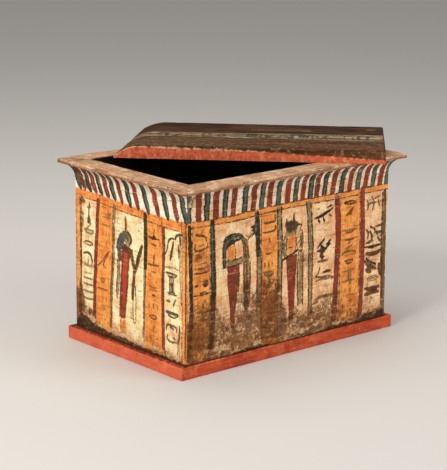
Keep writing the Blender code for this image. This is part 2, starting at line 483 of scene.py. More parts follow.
robedRows = [
    ("orange", 11, 0.6, (7, 226, 8, 240, 6, 256)),
    ("brown", 6, (7, 222, 8, 240, 5, 258)),
    ("red", "shape", (-8, 184, 4, 190, 22, 188, 20, 150, 13, 100, 7, 50, 4, 24, -17, 24, -15, 57, -12, 110,
      -7, 150)),
    ("rose", "shape", (0, 180, 15, 180, 15, 150, 8, 100, 1, 54, -6, 56, -6, 100, -3, 150)),
    ("brown", 2.6, (22, 186, 20, 150, 13, 100, 7, 50, 4, 24),
     (-8, 184, -7, 150, -12, 110, -15, 57, -17, 24)),
    ("brown", 1.7, (-13, 22, -13, -2), (-8, 22, -8, -2), (-3, 22, -3, -2), (2, 22, 2, -2)),
    ("orange", 5, 0.9, (-13, 22, -13, -4), (-8, 22, -8, -4), (-2, 22, -2, -4), (3, 22, 3, -3)),
    ("brown", 13, 0.8, (-20, 186, -8, 188, 8, 190, 26, 184), (-17, 180, -15, 158), (20, 184, 18, 168)),
    ("brown", 3.4, (-12, 184, -9, 166), (4, 190, 7, 180, 16, 178, 20, 162), (-10, 194, 4, 196, 22, 194)),
    ("brown", 8, (26, 188, 31, 168, 38, 146)),
    ("grey", 9, 0.85, (-18, 176, -19, 140, -21, 112)),
    ("grey", 6, 0.6, (-20, 130, -22, 100, -24, 68)),
    ("brown", 2.6, (30, 190, 36, 168, 43, 148), (22, 182, 27, 164, 34, 146), (-13, 160, -15, 130, -20, 76)),
    ("green", 2.6, (-23, 172, -24, 120, -27, 72)),
    ("teal", "shape", (-28, 176, -24, 199, -15, 214, 0, 225, 9, 226, 11, 214, 4, 204, -3, 194, -10, 178)),
    ("grey", "shape", (7, 226, 18, 225, 27, 216, 28, 206, 22, 196, 8, 197, 2, 204, 8, 213)),
    ("brown", 6, 0.7, (5, 224, 17, 223, 26, 214, 27, 205, 20, 197), (8, 216, 14, 206)),
    ("ink", 2.4, 0.5, 0.8, (-24, 178, -19, 198, -9, 213), (-16, 178, -12, 194, -2, 212)),
    ("orange", "shape", (12, 201, 21, 201, 24, 207, 20, 211, 12, 209)),
    ("ink", 2.6, 0.5, 0.8, (-28, 182, -16, 215, 2, 227, 20, 226, 28, 212, 24, 198, 10, 196)),
    ("brown", "shape", (36, 140, 43, 162, 48, 182, 58, 203, 64, 208, 65, 199, 59, 180, 51, 158, 43, 136)),
    ("ink", 3.4, 0.5, 0.85, (40, 144, 50, 180, 61, 204), (46, 142, 58, 176, 65, 202)),
    ("brown", 10.5, 0.75, (38, 148, 36, 122, 31, 98, 30, 78)),
    ("red", 5, (34, 116, 33, 86), (41, 108, 41, 84)),
    ("grey", 3.6, (41, 100, 42, 60, 40, 28), (31, 76, 30, 50, 31, 26), (31, 26, 40, 25)),
    ("ink", 2.6, 0.4, 0.6, (54, 254, 63, 252), (58, 243, 67, 241), (55, 230, 64, 228), (60, 216, 69, 214),
     (54, 158, 63, 156), (56, 124, 65, 122), (48, 236, 57, 234), (50, 100, 59, 98), (-24, 250, -15, 248),
     (-20, 60, -11, 58)),
]
figures = {"wrapped": (wrappedRows, 227), "spiky": (spikyRows, 240), "robed": (robedRows, 260)}

# The painting on the two sides that the photo shows
frontRows = [
    ("orange", "seam", (0, 326, 100, 325, 200, 328, 300, 331, 500, 331, 600, 332),
     (0, 338, 100, 338, 200, 341, 320, 343, 600, 345)),
    ("brown", 3, 0.8, (0, 326, 100, 325, 200, 328, 300, 331, 600, 332),
     (0, 338, 100, 338, 200, 341, 320, 343, 600, 345)),
    ("orange", "band", (12, 20, 15, 330), (62, 20, 66, 180, 62, 330), (212, 20, 212, 200, 206, 334),
     (262, 20, 258, 250, 254, 334), (448, 20, 450, 200, 446, 336), (512, 20, 513, 200, 509, 336)),
    ("orange", 5, 0.9, (1, 20, 1, 340)),
    ("green", 10.5, 0.94, (6, 330, 10, 250, 12, 200, 13, 150, 10, 100, 6, 40)),
    ("red", 5, (9, 236, 12, 205)),
    ("green", 14, 0.94, (68, 332, 71, 280, 73, 240, 74, 176)),
    ("teal", 3, 0.8, (67, 326, 70, 280, 72, 200)),
    ("green", 14.5, 0.94, (74, 186, 72, 140, 72, 100, 67, 58)),
    ("green", 14, 0.94, (195, 332, 198, 290, 202, 240)),
    ("grey", 14, 0.9, (203, 250, 205, 190, 204, 100)),
    ("brown", 4, 0.6, (198, 240, 198, 100), (212, 240, 211, 90)),
    ("green", "double", 16, (259, 336, 263, 290, 266, 240, 266, 200)),
    ("grey", 11, 0.94, (266, 236, 266, 150)),
    ("brown", 4.5, 0.6, (259, 215, 260, 120), (272, 220, 271, 110)),
    ("green", "double", 16.5, (347, 334, 353, 290, 358, 236)),
    ("grey", 13, 0.94, (358, 250, 358, 150, 358, 66)),
    ("brown", 4, 0.8, (352, 240, 353, 150, 353, 70), (364, 240, 364, 150, 363, 70)),
    ("red", 17, 0.94, (436, 334, 441, 250, 441, 200, 438, 140, 436, 40)),
    ("red", 15, 0.94, (517, 342, 520, 250, 522, 190, 521, 140, 519, 40)),
    ("ink", 11, 0.8, 0.9, (590, 330, 590, 280, 591, 220, 591, 150, 592, 40)),
    ("ink", 14, 0.6, 0.8, (596, 120, 594, 70, 590, 40)),
    ("brown", 6, (583, 326, 583, 240, 584, 160, 586, 60)),
    ("wrapped", "figure", 124, 68, 296),
    ("green", "cut", (188, 317, 186, 308, 176, 306, 184, 300, 179, 296, 186, 292, 180, 281, 190, 287, 202,
      280, 203, 318)),
    ("teal", 7, (191, 312, 192, 292)),
    ("brown", 3, (170, 277, 182, 290), (163, 290, 178, 282)),
    ("spiky", "figure", 299, 66, 306),
    ("ink", "column", 38, 21, 4.2, ("elbow", 303, 11, 0.75, 0.95), ("slant", 313, 6, 0.3, 0.5),
     ("tray", 284, 9, 0.95, 0.9)),
    ("brown", "column", 40, 22, 3.6, ("bar", 238, 3, 1, 1), ("bar", 227, 3, 1, 1), ("bar", 247, 3, 0.8, 1)),
    ("ink", "column", 43, 23, ("bar", 179, 3, 1.05, 0.95), ("bar", 184, 3, 0.4, 0.9),
     ("drops", 155, 8, 0.7, 0.5), ("wave", 140, 5, 0.8, 0.5), ("bar", 122, 4, 0.8, 0.35),
     ("twoDrops", 104, 8, 0.7, 0.4)),
    ("ink", "oval", 0.95, (27, 200, 5, 3.6), (52, 202, 9, 8)),
    ("grey", "oval", (52, 203, 3.5, 3)),
    ("ink", "column", 232, 19, 5, ("bar", 307, 3, 0.95, 0.9), ("bar", 286, 3, 0.9, 0.85),
     ("drop", 267, 11, 0.3, 0.8), ("bar", 248, 2, 0.8, 0.3), ("bar", 237, 3, 0.4, 0.9),
     ("drops", 213, 6, 0.75, 0.75), ("dish", 192, 6, 0.8, 0.75), ("bar", 168, 5, 0.5, 0.8),
     ("wave", 163, 5, 0.5, 0.8), ("bar", 148, 4, 0.9, 0.5), ("drop", 125, 7, 0.5, 0.6),
     ("bars", 108, 7, 0.8, 0.4)),
    ("ink", 5, 0.5, 0.85, (248, 322, 248, 309), (250, 298, 250, 288)),
    ("grey", "shape", (217, 196, 246, 191, 240, 184, 222, 187)),
    ("ink", 8, 0.35, (366, 296, 384, 298, 404, 304, 424, 314)),
    ("ink", 4.6, (378, 292, 384, 284), (394, 294, 399, 283), (404, 316, 420, 319), (412, 300, 420, 293)),
    ("ink", "oval", 0.6, (379, 316, 5, 3.6)),
    ("ink", 2.6, 0.5, 0.45, (372, 282, 398, 281, 426, 278), (376, 268, 420, 264)),
    ("ink", "cut", (383, 238, 390, 233, 402, 224, 414, 236, 420, 230, 404, 218, 396, 210, 402, 203, 392,
      194, 384, 206, 388, 214, 374, 218, 386, 224)),
    ("ink", 6, (378, 226, 390, 240, 398, 246), (404, 230, 418, 240)),
    ("ink", 5.6, 0.5, 0.9, (380, 193, 400, 194, 412, 193),
     (387, 181, 384, 168, 372, 158, 398, 158, 430, 154)),
    ("ink", 7, (397, 167, 410, 169, 422, 167)),
    ("ink", 5, 0.5, 0.8, (374, 150, 392, 154, 428, 150)),
    ("ink", 7, 0.5, 0.8, (374, 108, 392, 112, 428, 111), (366, 99, 384, 103)),
    ("ink", "column", 478, 23, 5, ("dish", 316, 5, 0.85, 0.95), ("twig", 295, 8, 0.5, 0.85),
     ("pod", 249, 5, 0.55, 0.8), ("bar", 253, 3, 1.1, 0.6), ("bar", 231, 3, 0.7, 0.85),
     ("post", 224, 5, 0.4, 0.8), ("slant", 215, 5, 0.5, 0.75), ("arch", 202, 4, 1.05, 0.75),
     ("bar", 196, 3, 1, 0.5), ("dish", 179, 5, 0.6, 0.9), ("bar", 158, 4, 0.9, 0.6),
     ("post", 142, 10, 0.3, 0.7), ("bar", 134, 3, 0.9, 0.5), ("twoDrops", 112, 8, 0.6, 0.45),
     ("bar", 100, 4, 0.7, 0.35)),
    ("grey", 6, (474, 154, 488, 152), (485, 148, 486, 128)),
    ("ink", 5, 0.5, 0.85, (532, 316, 538, 303, 535, 291), (548, 322, 556, 306, 552, 287),
     (567, 313, 573, 297), (533, 301, 546, 307, 562, 304), (557, 315, 575, 319)),
    ("ink", 6.5, 0.5, 0.9, (531, 246, 541, 236, 537, 222), (545, 250, 560, 244, 570, 228),
     (544, 240, 552, 226, 548, 213), (560, 236, 584, 233), (562, 247, 580, 250), (570, 222, 581, 209)),
    ("ink", 7, (528, 205, 556, 201, 586, 205), (533, 214, 556, 216), (534, 178, 548, 166, 566, 158)),
    ("brown", 12, 0.3, (534, 188, 556, 184, 582, 190), (530, 172, 546, 156, 568, 148), (534, 150, 552, 142),
     (532, 106, 556, 100, 580, 104), (532, 90, 556, 94, 578, 90), (576, 160, 582, 130)),
    ("grey", 4, (538, 126, 552, 132, 568, 131, 576, 126, 562, 120, 546, 121, 538, 126),
     (544, 127, 566, 126)),
    ("grime", "stain", 0.42, (548, 178, 20, 16), (560, 152, 18, 10), (550, 98, 24, 10), (410, 74, 30, 18),
     (484, 135, 20, 22), (566, 224, 16, 14)),
    ("grime", "stain", 0.45, (38, 262, 24, 14), (40, 236, 26, 9), (166, 172, 14, 14), (232, 176, 24, 12),
     (230, 130, 26, 22), (338, 200, 14, 26), (160, 66, 30, 18), (240, 80, 36, 24), (30, 66, 30, 40)),
    ("grime", "stain", 0.16, (90, 220, 26, 70), (38, 250, 24, 60)),
    ("blush", "add", 0.6),
    ("blush", "stain", -0.6, (130, 310, 46, 16), (395, 312, 30, 14), (92, 200, 16, 60), (560, 66, 24, 14),
     (236, 300, 20, 24)),
    ("grime", "stain", -0.25, (152, 290, 40, 26), (230, 290, 30, 40), (395, 260, 30, 60),
     (100, 190, 22, 40), (570, 66, 26, 12), (480, 290, 30, 30)),
    ("pale", "oval", (98, 48, 26, 8), (330, 44, 30, 5), (390, 50, 20, 4), (200, 42, 14, 4),
     (444, 40, 12, 4), (596, 34, 4, 8), (148, 86, 12, 5), (302, 52, 14, 4), (560, 62, 22, 5)),
    ("grime", "weather", 0.04, 1.15, 52, (0, 150, 60, 150, 90, 110, 160, 128, 200, 160, 262, 165, 290, 80,
      370, 84, 400, 96, 440, 90, 470, 70, 530, 58, 600, 70), (0, 20, 60, 24, 100, 20, 150, 32, 200, 34,
      270, 26, 400, 30, 440, 36, 500, 34, 530, 44, 600, 46)),
]
leftRows = [
    ("orange", "seam", (0, 332, 80, 332, 150, 326, 250, 322, 300, 318, 393, 316),
     (0, 350, 60, 350, 150, 345, 200, 343, 250, 340, 393, 336)),
    ("rose", 13, 0.94, (4, 344, 60, 344, 150, 339, 250, 333, 386, 328)),
    ("rose", "thin", 0.45),
    ("brown", 2.6, 0.8, (20, 332, 80, 332, 150, 326, 250, 322, 300, 318, 386, 316)),
    ("orange", "band", (70, 20, 76, 150, 82, 220, 90, 336), (128, 20, 134, 150, 138, 220, 140, 336),
     (246, 20, 250, 150, 256, 220, 258, 336), (322, 20, 312, 180, 310, 336), (2, 20, 2, 340),
     (14, 20, 17, 180, 18, 340), (377, 20, 376, 340), (398, 20, 398, 340)),
    ("brown", 5, 0.8, (21, 336, 22, 240, 20, 150, 18, 40), (390, 332, 390, 180, 388, 40)),
    ("ink", 4, 0.5, 0.75, (25, 300, 27, 250), (30, 296, 29, 262), (15, 182, 30, 180)),
    ("ink", 12, 0.5, 0.7, (20, 130, 18, 90, 17, 56), (26, 108, 28, 70)),
    ("red", 12.5, 0.94, (67, 66, 72, 130, 77, 200, 84, 334)),
    ("grey", 8, 0.94, (130, 50, 134, 130, 139, 200, 144, 334)),
    ("brown", 2, 0.8, (126, 60, 129, 130, 136, 200, 139, 334), (133, 80, 138, 140, 144, 220, 149, 334)),
    ("green", 12.5, 0.94, (252, 332, 253, 270, 254, 216)),
    ("grey", 7, 0.94, (252, 220, 251, 150, 246, 60)),
    ("green", 2.2, (249, 215, 247, 120, 243, 60), (255, 220, 254, 150)),
    ("red", 10.5, 0.94, (315, 50, 313, 130, 313, 200, 317, 250, 315, 314)),
    ("ink", 4.5, 0.5, 0.7, (372, 300, 370, 230, 374, 160), (368, 108, 366, 76, 362, 44)),
    ("grey", 8, 0.4, (368, 112, 370, 90, 364, 70)),
    ("robed", "figure", 178, 58, 318),
    ("ink", "column", 51, 22, 5, ("post", 304, 18, 0.3, 0.95), ("bar", 312, 3, 0.3, 0.8),
     ("twoDrops", 282, 9, 0.25, 0.9), ("slant", 270, 8, 0.45, 0.6), ("dish", 257, 6, 0.85, 0.75)),
    ("ink", "shape", 0.9, (44, 276, 45, 288, 51, 297, 57, 288, 57, 276)),
    ("brown", "column", 50, 22, 4, ("pod", 229, 5, 0.9, 1)),
    ("ink", 6.5, 0.6, 0.95, (29, 203, 44, 208, 58, 204, 64, 188)),
    ("ink", "column", 48, 22, 5, ("mast", 183, 10, 0.7, 0.7), ("bar", 177, 4, 0.85, 0.6),
     ("bar", 160, 3, 0.75, 0.55), ("bar", 148, 3, 0.95, 0.9), ("bar", 134, 3, 0.9, 0.8),
     ("bar", 118, 3, 0.9, 0.75), ("bar", 102, 4, 0.85, 0.75)),
    ("ink", "oval", 0.85, (54, 73, 8, 7)),
    ("ink", "oval", 0.8, (26, 324, 11, 6)),
    ("ink", 9, 0.5, 0.75, (14, 358, 34, 362, 58, 356), (34, 370, 62, 366)),
    ("ink", "column", 114, 20, ("bars", 305, 7, 0.9, 0.4), ("bar", 284, 3, 0.8, 0.55),
     ("drops", 262, 5, 0.7, 0.5), ("drop", 243, 6, 0.5, 0.5)),
    ("ink", 4, 0.5, 0.85, (130, 228, 118, 222, 100, 198, 84, 184),
     (122, 224, 112, 206, 101, 190, 114, 184)),
    ("ink", "column", 102, 20, ("bar", 150, 3, 0.35, 0.9), ("pod", 155, 5, 0.4, 0.6),
     ("bar", 134, 3, 0.9, 0.7), ("drops", 113, 5, 0.8, 0.5), ("bars", 92, 5, 0.6, 0.45),
     ("twoDrops", 66, 3, 0.55, 0.6)),
    ("ink", "column", 281, 21, ("bar", 286, 2, 0.95, 1), ("bar", 271, 3, 0.4, 0.8),
     ("post", 302, 5, 0.2, 0.6), ("bar", 227, 3, 0.95, 0.85), ("bar", 212, 3, 0.4, 0.6),
     ("bars", 175, 7, 0.8, 0.6), ("drops", 136, 6, 0.85, 0.8), ("pod", 110, 5, 0.7, 0.8),
     ("mast", 82, 8, 0.6, 0.55), ("twoDrops", 64, 4, 0.9, 0.6)),
    ("ink", "shape", (272, 286, 280, 296, 290, 287, 281, 284)),
    ("ink", 5.5, 0.5, 0.95, (283, 250, 282, 240, 281, 229)),
    ("ink", "oval", 0.95, (282, 160, 6.5, 3.2)),
    ("ink", 5, 0.5, 0.95, (313, 256, 326, 264, 330, 284, 336, 296, 357, 299), (366, 288, 366, 258)),
    ("ink", 6.5, 0.7, 0.95, (356, 298, 359, 308, 378, 311), (370, 309, 372, 288)),
    ("brown", 8, 0.3, (349, 292, 345, 272, 338, 248)),
    ("ink", 3.2, 0.5, 0.7, (347, 284, 343, 268, 340, 252)),
    ("ink", 3.4, 0.5, 0.7, (318, 232, 344, 235, 372, 232)),
    ("ink", "column", 342, 20, 4.8, ("dish", 217, 5, 0.95, 0.95), ("comb", 196, 22, 0.55, 0.95),
     ("bar", 176, 3, 0.9, 0.9)),
    ("ink", "oval", 0.9, (331, 159, 7.5, 3.4)),
    ("ink", 5.5, 0.5, 0.85, (355, 166, 346, 150)),
    ("ink", "column", 343, 20, 5, ("dish", 130, 7, 1.05, 0.95), ("bar", 133, 3, 1, 0.9),
     ("gate", 100, 8, 0.95, 0.9), ("step", 76, 9, 0.95, 0.85)),
    ("grime", "stain", 0.45, (24, 320, 20, 14), (128, 304, 14, 16), (18, 90, 16, 44), (40, 68, 26, 14),
     (386, 300, 12, 30), (345, 262, 12, 16), (40, 360, 30, 10)),
    ("blush", "add", -0.35),
    ("blush", "stain", 0.5, (14, 200, 14, 200), (386, 200, 14, 200), (200, 330, 260, 16), (345, 90, 34, 40),
     (110, 60, 60, 20)),
    ("grime", "stain", -0.2, (100, 120, 30, 50), (200, 200, 40, 90), (350, 200, 24, 80),
     (282, 200, 24, 50)),
    ("pale", "oval", (110, 47, 34, 5), (190, 44, 40, 5), (270, 42, 40, 5), (356, 42, 14, 6),
     (62, 56, 12, 5), (372, 52, 5, 12)),
    ("grime", "weather", 0.03, 0.62, 26, (0, 130, 20, 130, 40, 84, 90, 60, 393, 52),
     (0, 40, 14, 58, 35, 58, 60, 50, 80, 44, 130, 38, 200, 37, 250, 35, 300, 31, 393, 30)),
]


# The sides that the photo doesn't show: the same columns and panels, plainer

hidden = {"back": ("spiky", "wrapped", "robed"), "right": ("robed", "wrapped"), "column": 54.0,
          "margin": 23.0, "foot": 66, "figureTop": 306, "markTop": 308.0, "stains": 10, "bareSpots": 7}


def upright(u, *heights):
    return [(u, height) for height in heights]


def paintHidden(p, face):
    s, names, width, seed = hidden, hidden[face], faceWidth[face], faceSeed[face] + 5
    chance = random.Random(seed)
    p.seam("orange", [(0, 328), (width, 328)], [(0, 342), (width, 342)])
    for side in (-1, 1):
        for layer, inset, top, wide in (("orange", 8, 340, 17), ("green", 20, 330, 6)):
            p.ribbon(layer, upright(width / 2 + side * (width / 2 - inset), 20, top), wide)
    panel = (width - 2 * s["margin"] - s["column"] * (len(names) + 1)) / len(names)
    left = s["margin"]
    for number in range(len(names) * 2 + 1):
        isPanel = number % 2 == 1
        wide = panel if isPanel else s["column"]
        if isPanel:
            p.figure(names[number // 2], left + wide * 0.38, s["foot"], s["figureTop"])
        else:
            if number % 4 == 0:
                p.band("orange", upright(left, 20, 335), upright(left + wide, 20, 335))
            height = s["markTop"]
            while height > s["foot"]:
                tall = chance.uniform(4, 9)
                mark = [chance.choice(list(marks)), height, tall]
                mark += [chance.uniform(0.6, 0.95), chance.uniform(0.5, 0.95)]
                p.column("ink", [mark], left + wide / 2, wide * 0.4)
                height -= tall * 2 + 8
        left += wide
        if number < len(names) * 2:
            if isPanel:
                p.doubleStripe(upright(left, 50, 180, 328), 12)
            else:
                p.ribbon("red", upright(left, 50, 180, 328), 12)
    for _ in range(s["stains"]):
        amount = chance.uniform(0.15, 0.4)
        spot = [chance.uniform(*span) for span in ((0, width), (60, 320), (14, 40), (10, 30))]
        p.stain("grime", amount, spot)
    for _ in range(s["bareSpots"]):
        p.oval("pale", *[chance.uniform(*span) for span in ((0, width), (38, 54), (12, 34), (3, 6))])
    p.weather(0.12, 0.65, 40, [(0, 96), (width * 0.3, 74), (width * 0.7, 104), (width, 80)],
              [(0, 36), (width * 0.25, 30), (width * 0.6, 40), (width, 32)])
    p.wearEdge(np.minimum(p.u, width - p.u) + 3, seed)


def paintFace(face, along, up):
    p = Painting(along, up, faceSeed[face])
    width = faceWidth[face]
    frieze(p, face)
    if face == "front":
        p.draw(frontRows)
        p.wearEdge(np.minimum(width - p.u + 1.5, p.u + 3 + 8 * smooth(345, 320, p.v)), 5)
    elif face == "left":
        p.draw(leftRows)
        p.wearEdge(np.minimum(p.u + 1.8, width - p.u + 3 + 8 * smooth(345, 310, p.v)), 7)
    else:
        paintHidden(p, face)
    p.layers["blush"] -= 0.5 * p.layers["chalk"]
    return p.layers


# Boards: a box whose painted faces are fine grids, and whose other faces are single flat ones.
# Each face has its fixed axis and side, then the axis and direction that run across it and up it.

faceAxes = {"front": (1, 0, 0, 1, 2, 1), "back": (1, 1, 0, -1, 2, 1), "left": (0, 0, 1, -1, 2, 1),
            "right": (0, 1, 1, 1, 2, 1), "top": (2, 1, 0, 1, 1, 1), "bottom": (2, 0, 0, 1, 1, -1)}


def ticks(low, high, step):
    return np.linspace(low, high, max(1, round((high - low) / step)) + 1)


class Board:
    def __init__(self, low, high, steps, grids):
        self.low, self.high = np.array(low, float), np.array(high, float)
        self.axes = [ticks(self.low[axis], self.high[axis], steps[axis]) for axis in range(3)]
        self.grids = grids

    def run(self, axis, sign):
        return self.axes[axis] if sign > 0 else self.axes[axis][::-1]

    def gridPoints(self, name):
        fixed, side, across, acrossSign, upward, upSign = faceAxes[name]
        a, b = np.meshgrid(self.run(across, acrossSign), self.run(upward, upSign))
        points = np.zeros((*a.shape, 3))
        points[..., across] = a
        points[..., upward] = b
        points[..., fixed] = (self.low, self.high)[side][fixed]
        return points

    def capPoints(self, name):
        fixed, side, across, acrossSign, upward, upSign = faceAxes[name]
        a, b = self.run(across, acrossSign), self.run(upward, upSign)
        loop = []
        sides = ((across, a, upward, b[0]), (upward, b, across, a[-1]),
                 (across, a[::-1], upward, b[-1]), (upward, b[::-1], across, a[0]))
        for axis, values, otherAxis, other in sides:
            neighbour = self.faceAt(otherAxis, other)
            for value in values[:-1] if neighbour in self.grids else values[:1]:
                point = np.zeros(3)
                point[axis], point[otherAxis] = value, other
                point[fixed] = (self.low, self.high)[side][fixed]
                loop.append(point)
        return np.array(loop)

    def caps(self):
        return [self.capPoints(name) for name in faceAxes if name not in self.grids]

    def faceAt(self, axis, value):
        side = 0 if abs(value - self.low[axis]) < abs(value - self.high[axis]) else 1
        return next(name for name, axes in faceAxes.items() if axes[0] == axis and axes[1] == side)

    def roundEdges(self, points, radius):
        middle, half = (self.low + self.high) / 2, (self.high - self.low) / 2
        radius = radius[..., None]
        away = points - middle
        past = np.abs(away) - (half - radius)
        reach = np.maximum(past, 0)
        length = np.maximum(np.linalg.norm(reach, axis=-1, keepdims=True), 1e-9)
        moved = np.where(past > 0, half - radius + reach * radius / length, np.abs(away))
        return middle + np.sign(away) * moved


def writeLayer(mesh, name, domain, values):
    mesh.attributes.new(name, "FLOAT", domain).data.foreach_set("value", values.astype(np.float32))


def joinPatches(name, grids, caps, layers, shift, sunk=None):
    points, faces, slots, values = [], [], [], {layer: [] for layer in layers}
    start = 0
    for patch, patchLayers in grids:
        rows, cols = patch.shape[:2]
        numbers = np.arange(rows * cols).reshape(rows, cols)
        corners = (numbers[:-1, :-1], numbers[:-1, 1:], numbers[1:, 1:], numbers[1:, :-1])
        quads = np.stack(corners, -1).reshape(-1, 4)
        points.append(patch.reshape(-1, 3))
        faces += (quads + start).tolist()
        slots += [0] * len(quads)
        for layer in layers:
            values[layer].append(patchLayers[layer].reshape(-1)[quads].reshape(-1))
        start += rows * cols
    for cap in caps:
        points.append(cap)
        faces.append(list(range(start, start + len(cap))))
        slots.append(1)
        for layer, default in layers.items():
            values[layer].append(np.full(len(cap), default))
        start += len(cap)
    points = np.concatenate(points)
    places = np.round(points * 1e6).astype(np.int64)
    first, index = np.unique(places, axis=0, return_index=True, return_inverse=True)[1:]
    # What is sunk into the grids moves the caps that share their points too
    if sunk is not None:
        points[:len(sunk)] += sunk
    index = index.reshape(-1).tolist()
    mesh = bpy.data.meshes.new(name)
    faces = [[index[corner] for corner in face] for face in faces]
    mesh.from_pydata(shift(points[first]).tolist(), [], faces)
    mesh.polygons.foreach_set("material_index", slots)
    for layer in layers:
        writeLayer(mesh, layer, "CORNER", np.concatenate(values[layer]))
    mesh.update()
    return addObject(name, mesh)


def turnOutwards(mesh):
    whole = bmesh.new()
    whole.from_mesh(mesh)
    bmesh.ops.recalc_face_normals(whole, faces=whole.faces)
    whole.to_mesh(mesh)
    whole.free()


def shadeSoftly(piece, degrees):
    piece.data.shade_smooth()
    piece.data.set_sharp_from_angle(angle=math.radians(degrees))


def place(piece, node, slot, *materials):
    for material in materials:
        piece.data.materials.append(material)
    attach(piece, "root")
    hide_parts(node)
    print(node, len(piece.data.polygons), "faces")


def warp(points):  # hand-planed boards are never quite flat
    waves = [0.00028 * softNoise(points, 0.07, 61 + axis) + 0.0001 * softNoise(points, 0.013, 71 + axis)
             for axis in range(3)]
    return np.stack(waves, -1)


# Painted finishes, for the walls and for the cornice

palette = {
    "plaster": (srgb(255, 242, 196), srgb(238, 204, 144)),
    "blush": (srgb(255, 218, 170), srgb(230, 166, 114)),
    "chalk": (srgb(255, 252, 240), srgb(236, 220, 194)),
    "orange": (srgb(255, 176, 92), srgb(220, 124, 54)),
    "red": (srgb(160, 68, 44), srgb(104, 46, 31)),
    "rose": (srgb(212, 84, 62), srgb(168, 58, 42)),
    "grey": (srgb(170, 148, 106), srgb(116, 96, 62)),
    "brown": (srgb(120, 76, 42), srgb(80, 50, 30)),
    "green": (srgb(66, 58, 40), srgb(34, 30, 20)),
    "teal": (srgb(104, 116, 104), srgb(60, 70, 60)),
    "ink": (srgb(46, 36, 24), srgb(84, 58, 30)),
    "bareWood": (srgb(70, 43, 28), srgb(32, 21, 15)),
    "grime": (srgb(150, 98, 52), srgb(80, 50, 27)),
    "pale": (srgb(230, 196, 150), srgb(188, 150, 104)),
    "rim": (srgb(200, 160, 126), srgb(142, 106, 76)),
    "plinth": (srgb(206, 90, 54), srgb(166, 64, 36)),
    "varnish": (srgb(64, 41, 28), srgb(34, 22, 15)),
    "lidFront": (srgb(100, 63, 43), srgb(96, 72, 48)),
    "lidBand": (srgb(148, 130, 100), srgb(96, 80, 58)),
    "lidEdge": (srgb(218, 108, 74), srgb(186, 82, 54)),
    "inside": (srgb(50, 36, 24), srgb(26, 19, 12)),
}
umber = (0.50, 0.36, 0.26, 1.0)
paintWear = dict(zip(paintLayers, (0.66, 0.66, 0.60, 0.52, 0.60, 0.62, 0.60, 0.62)))


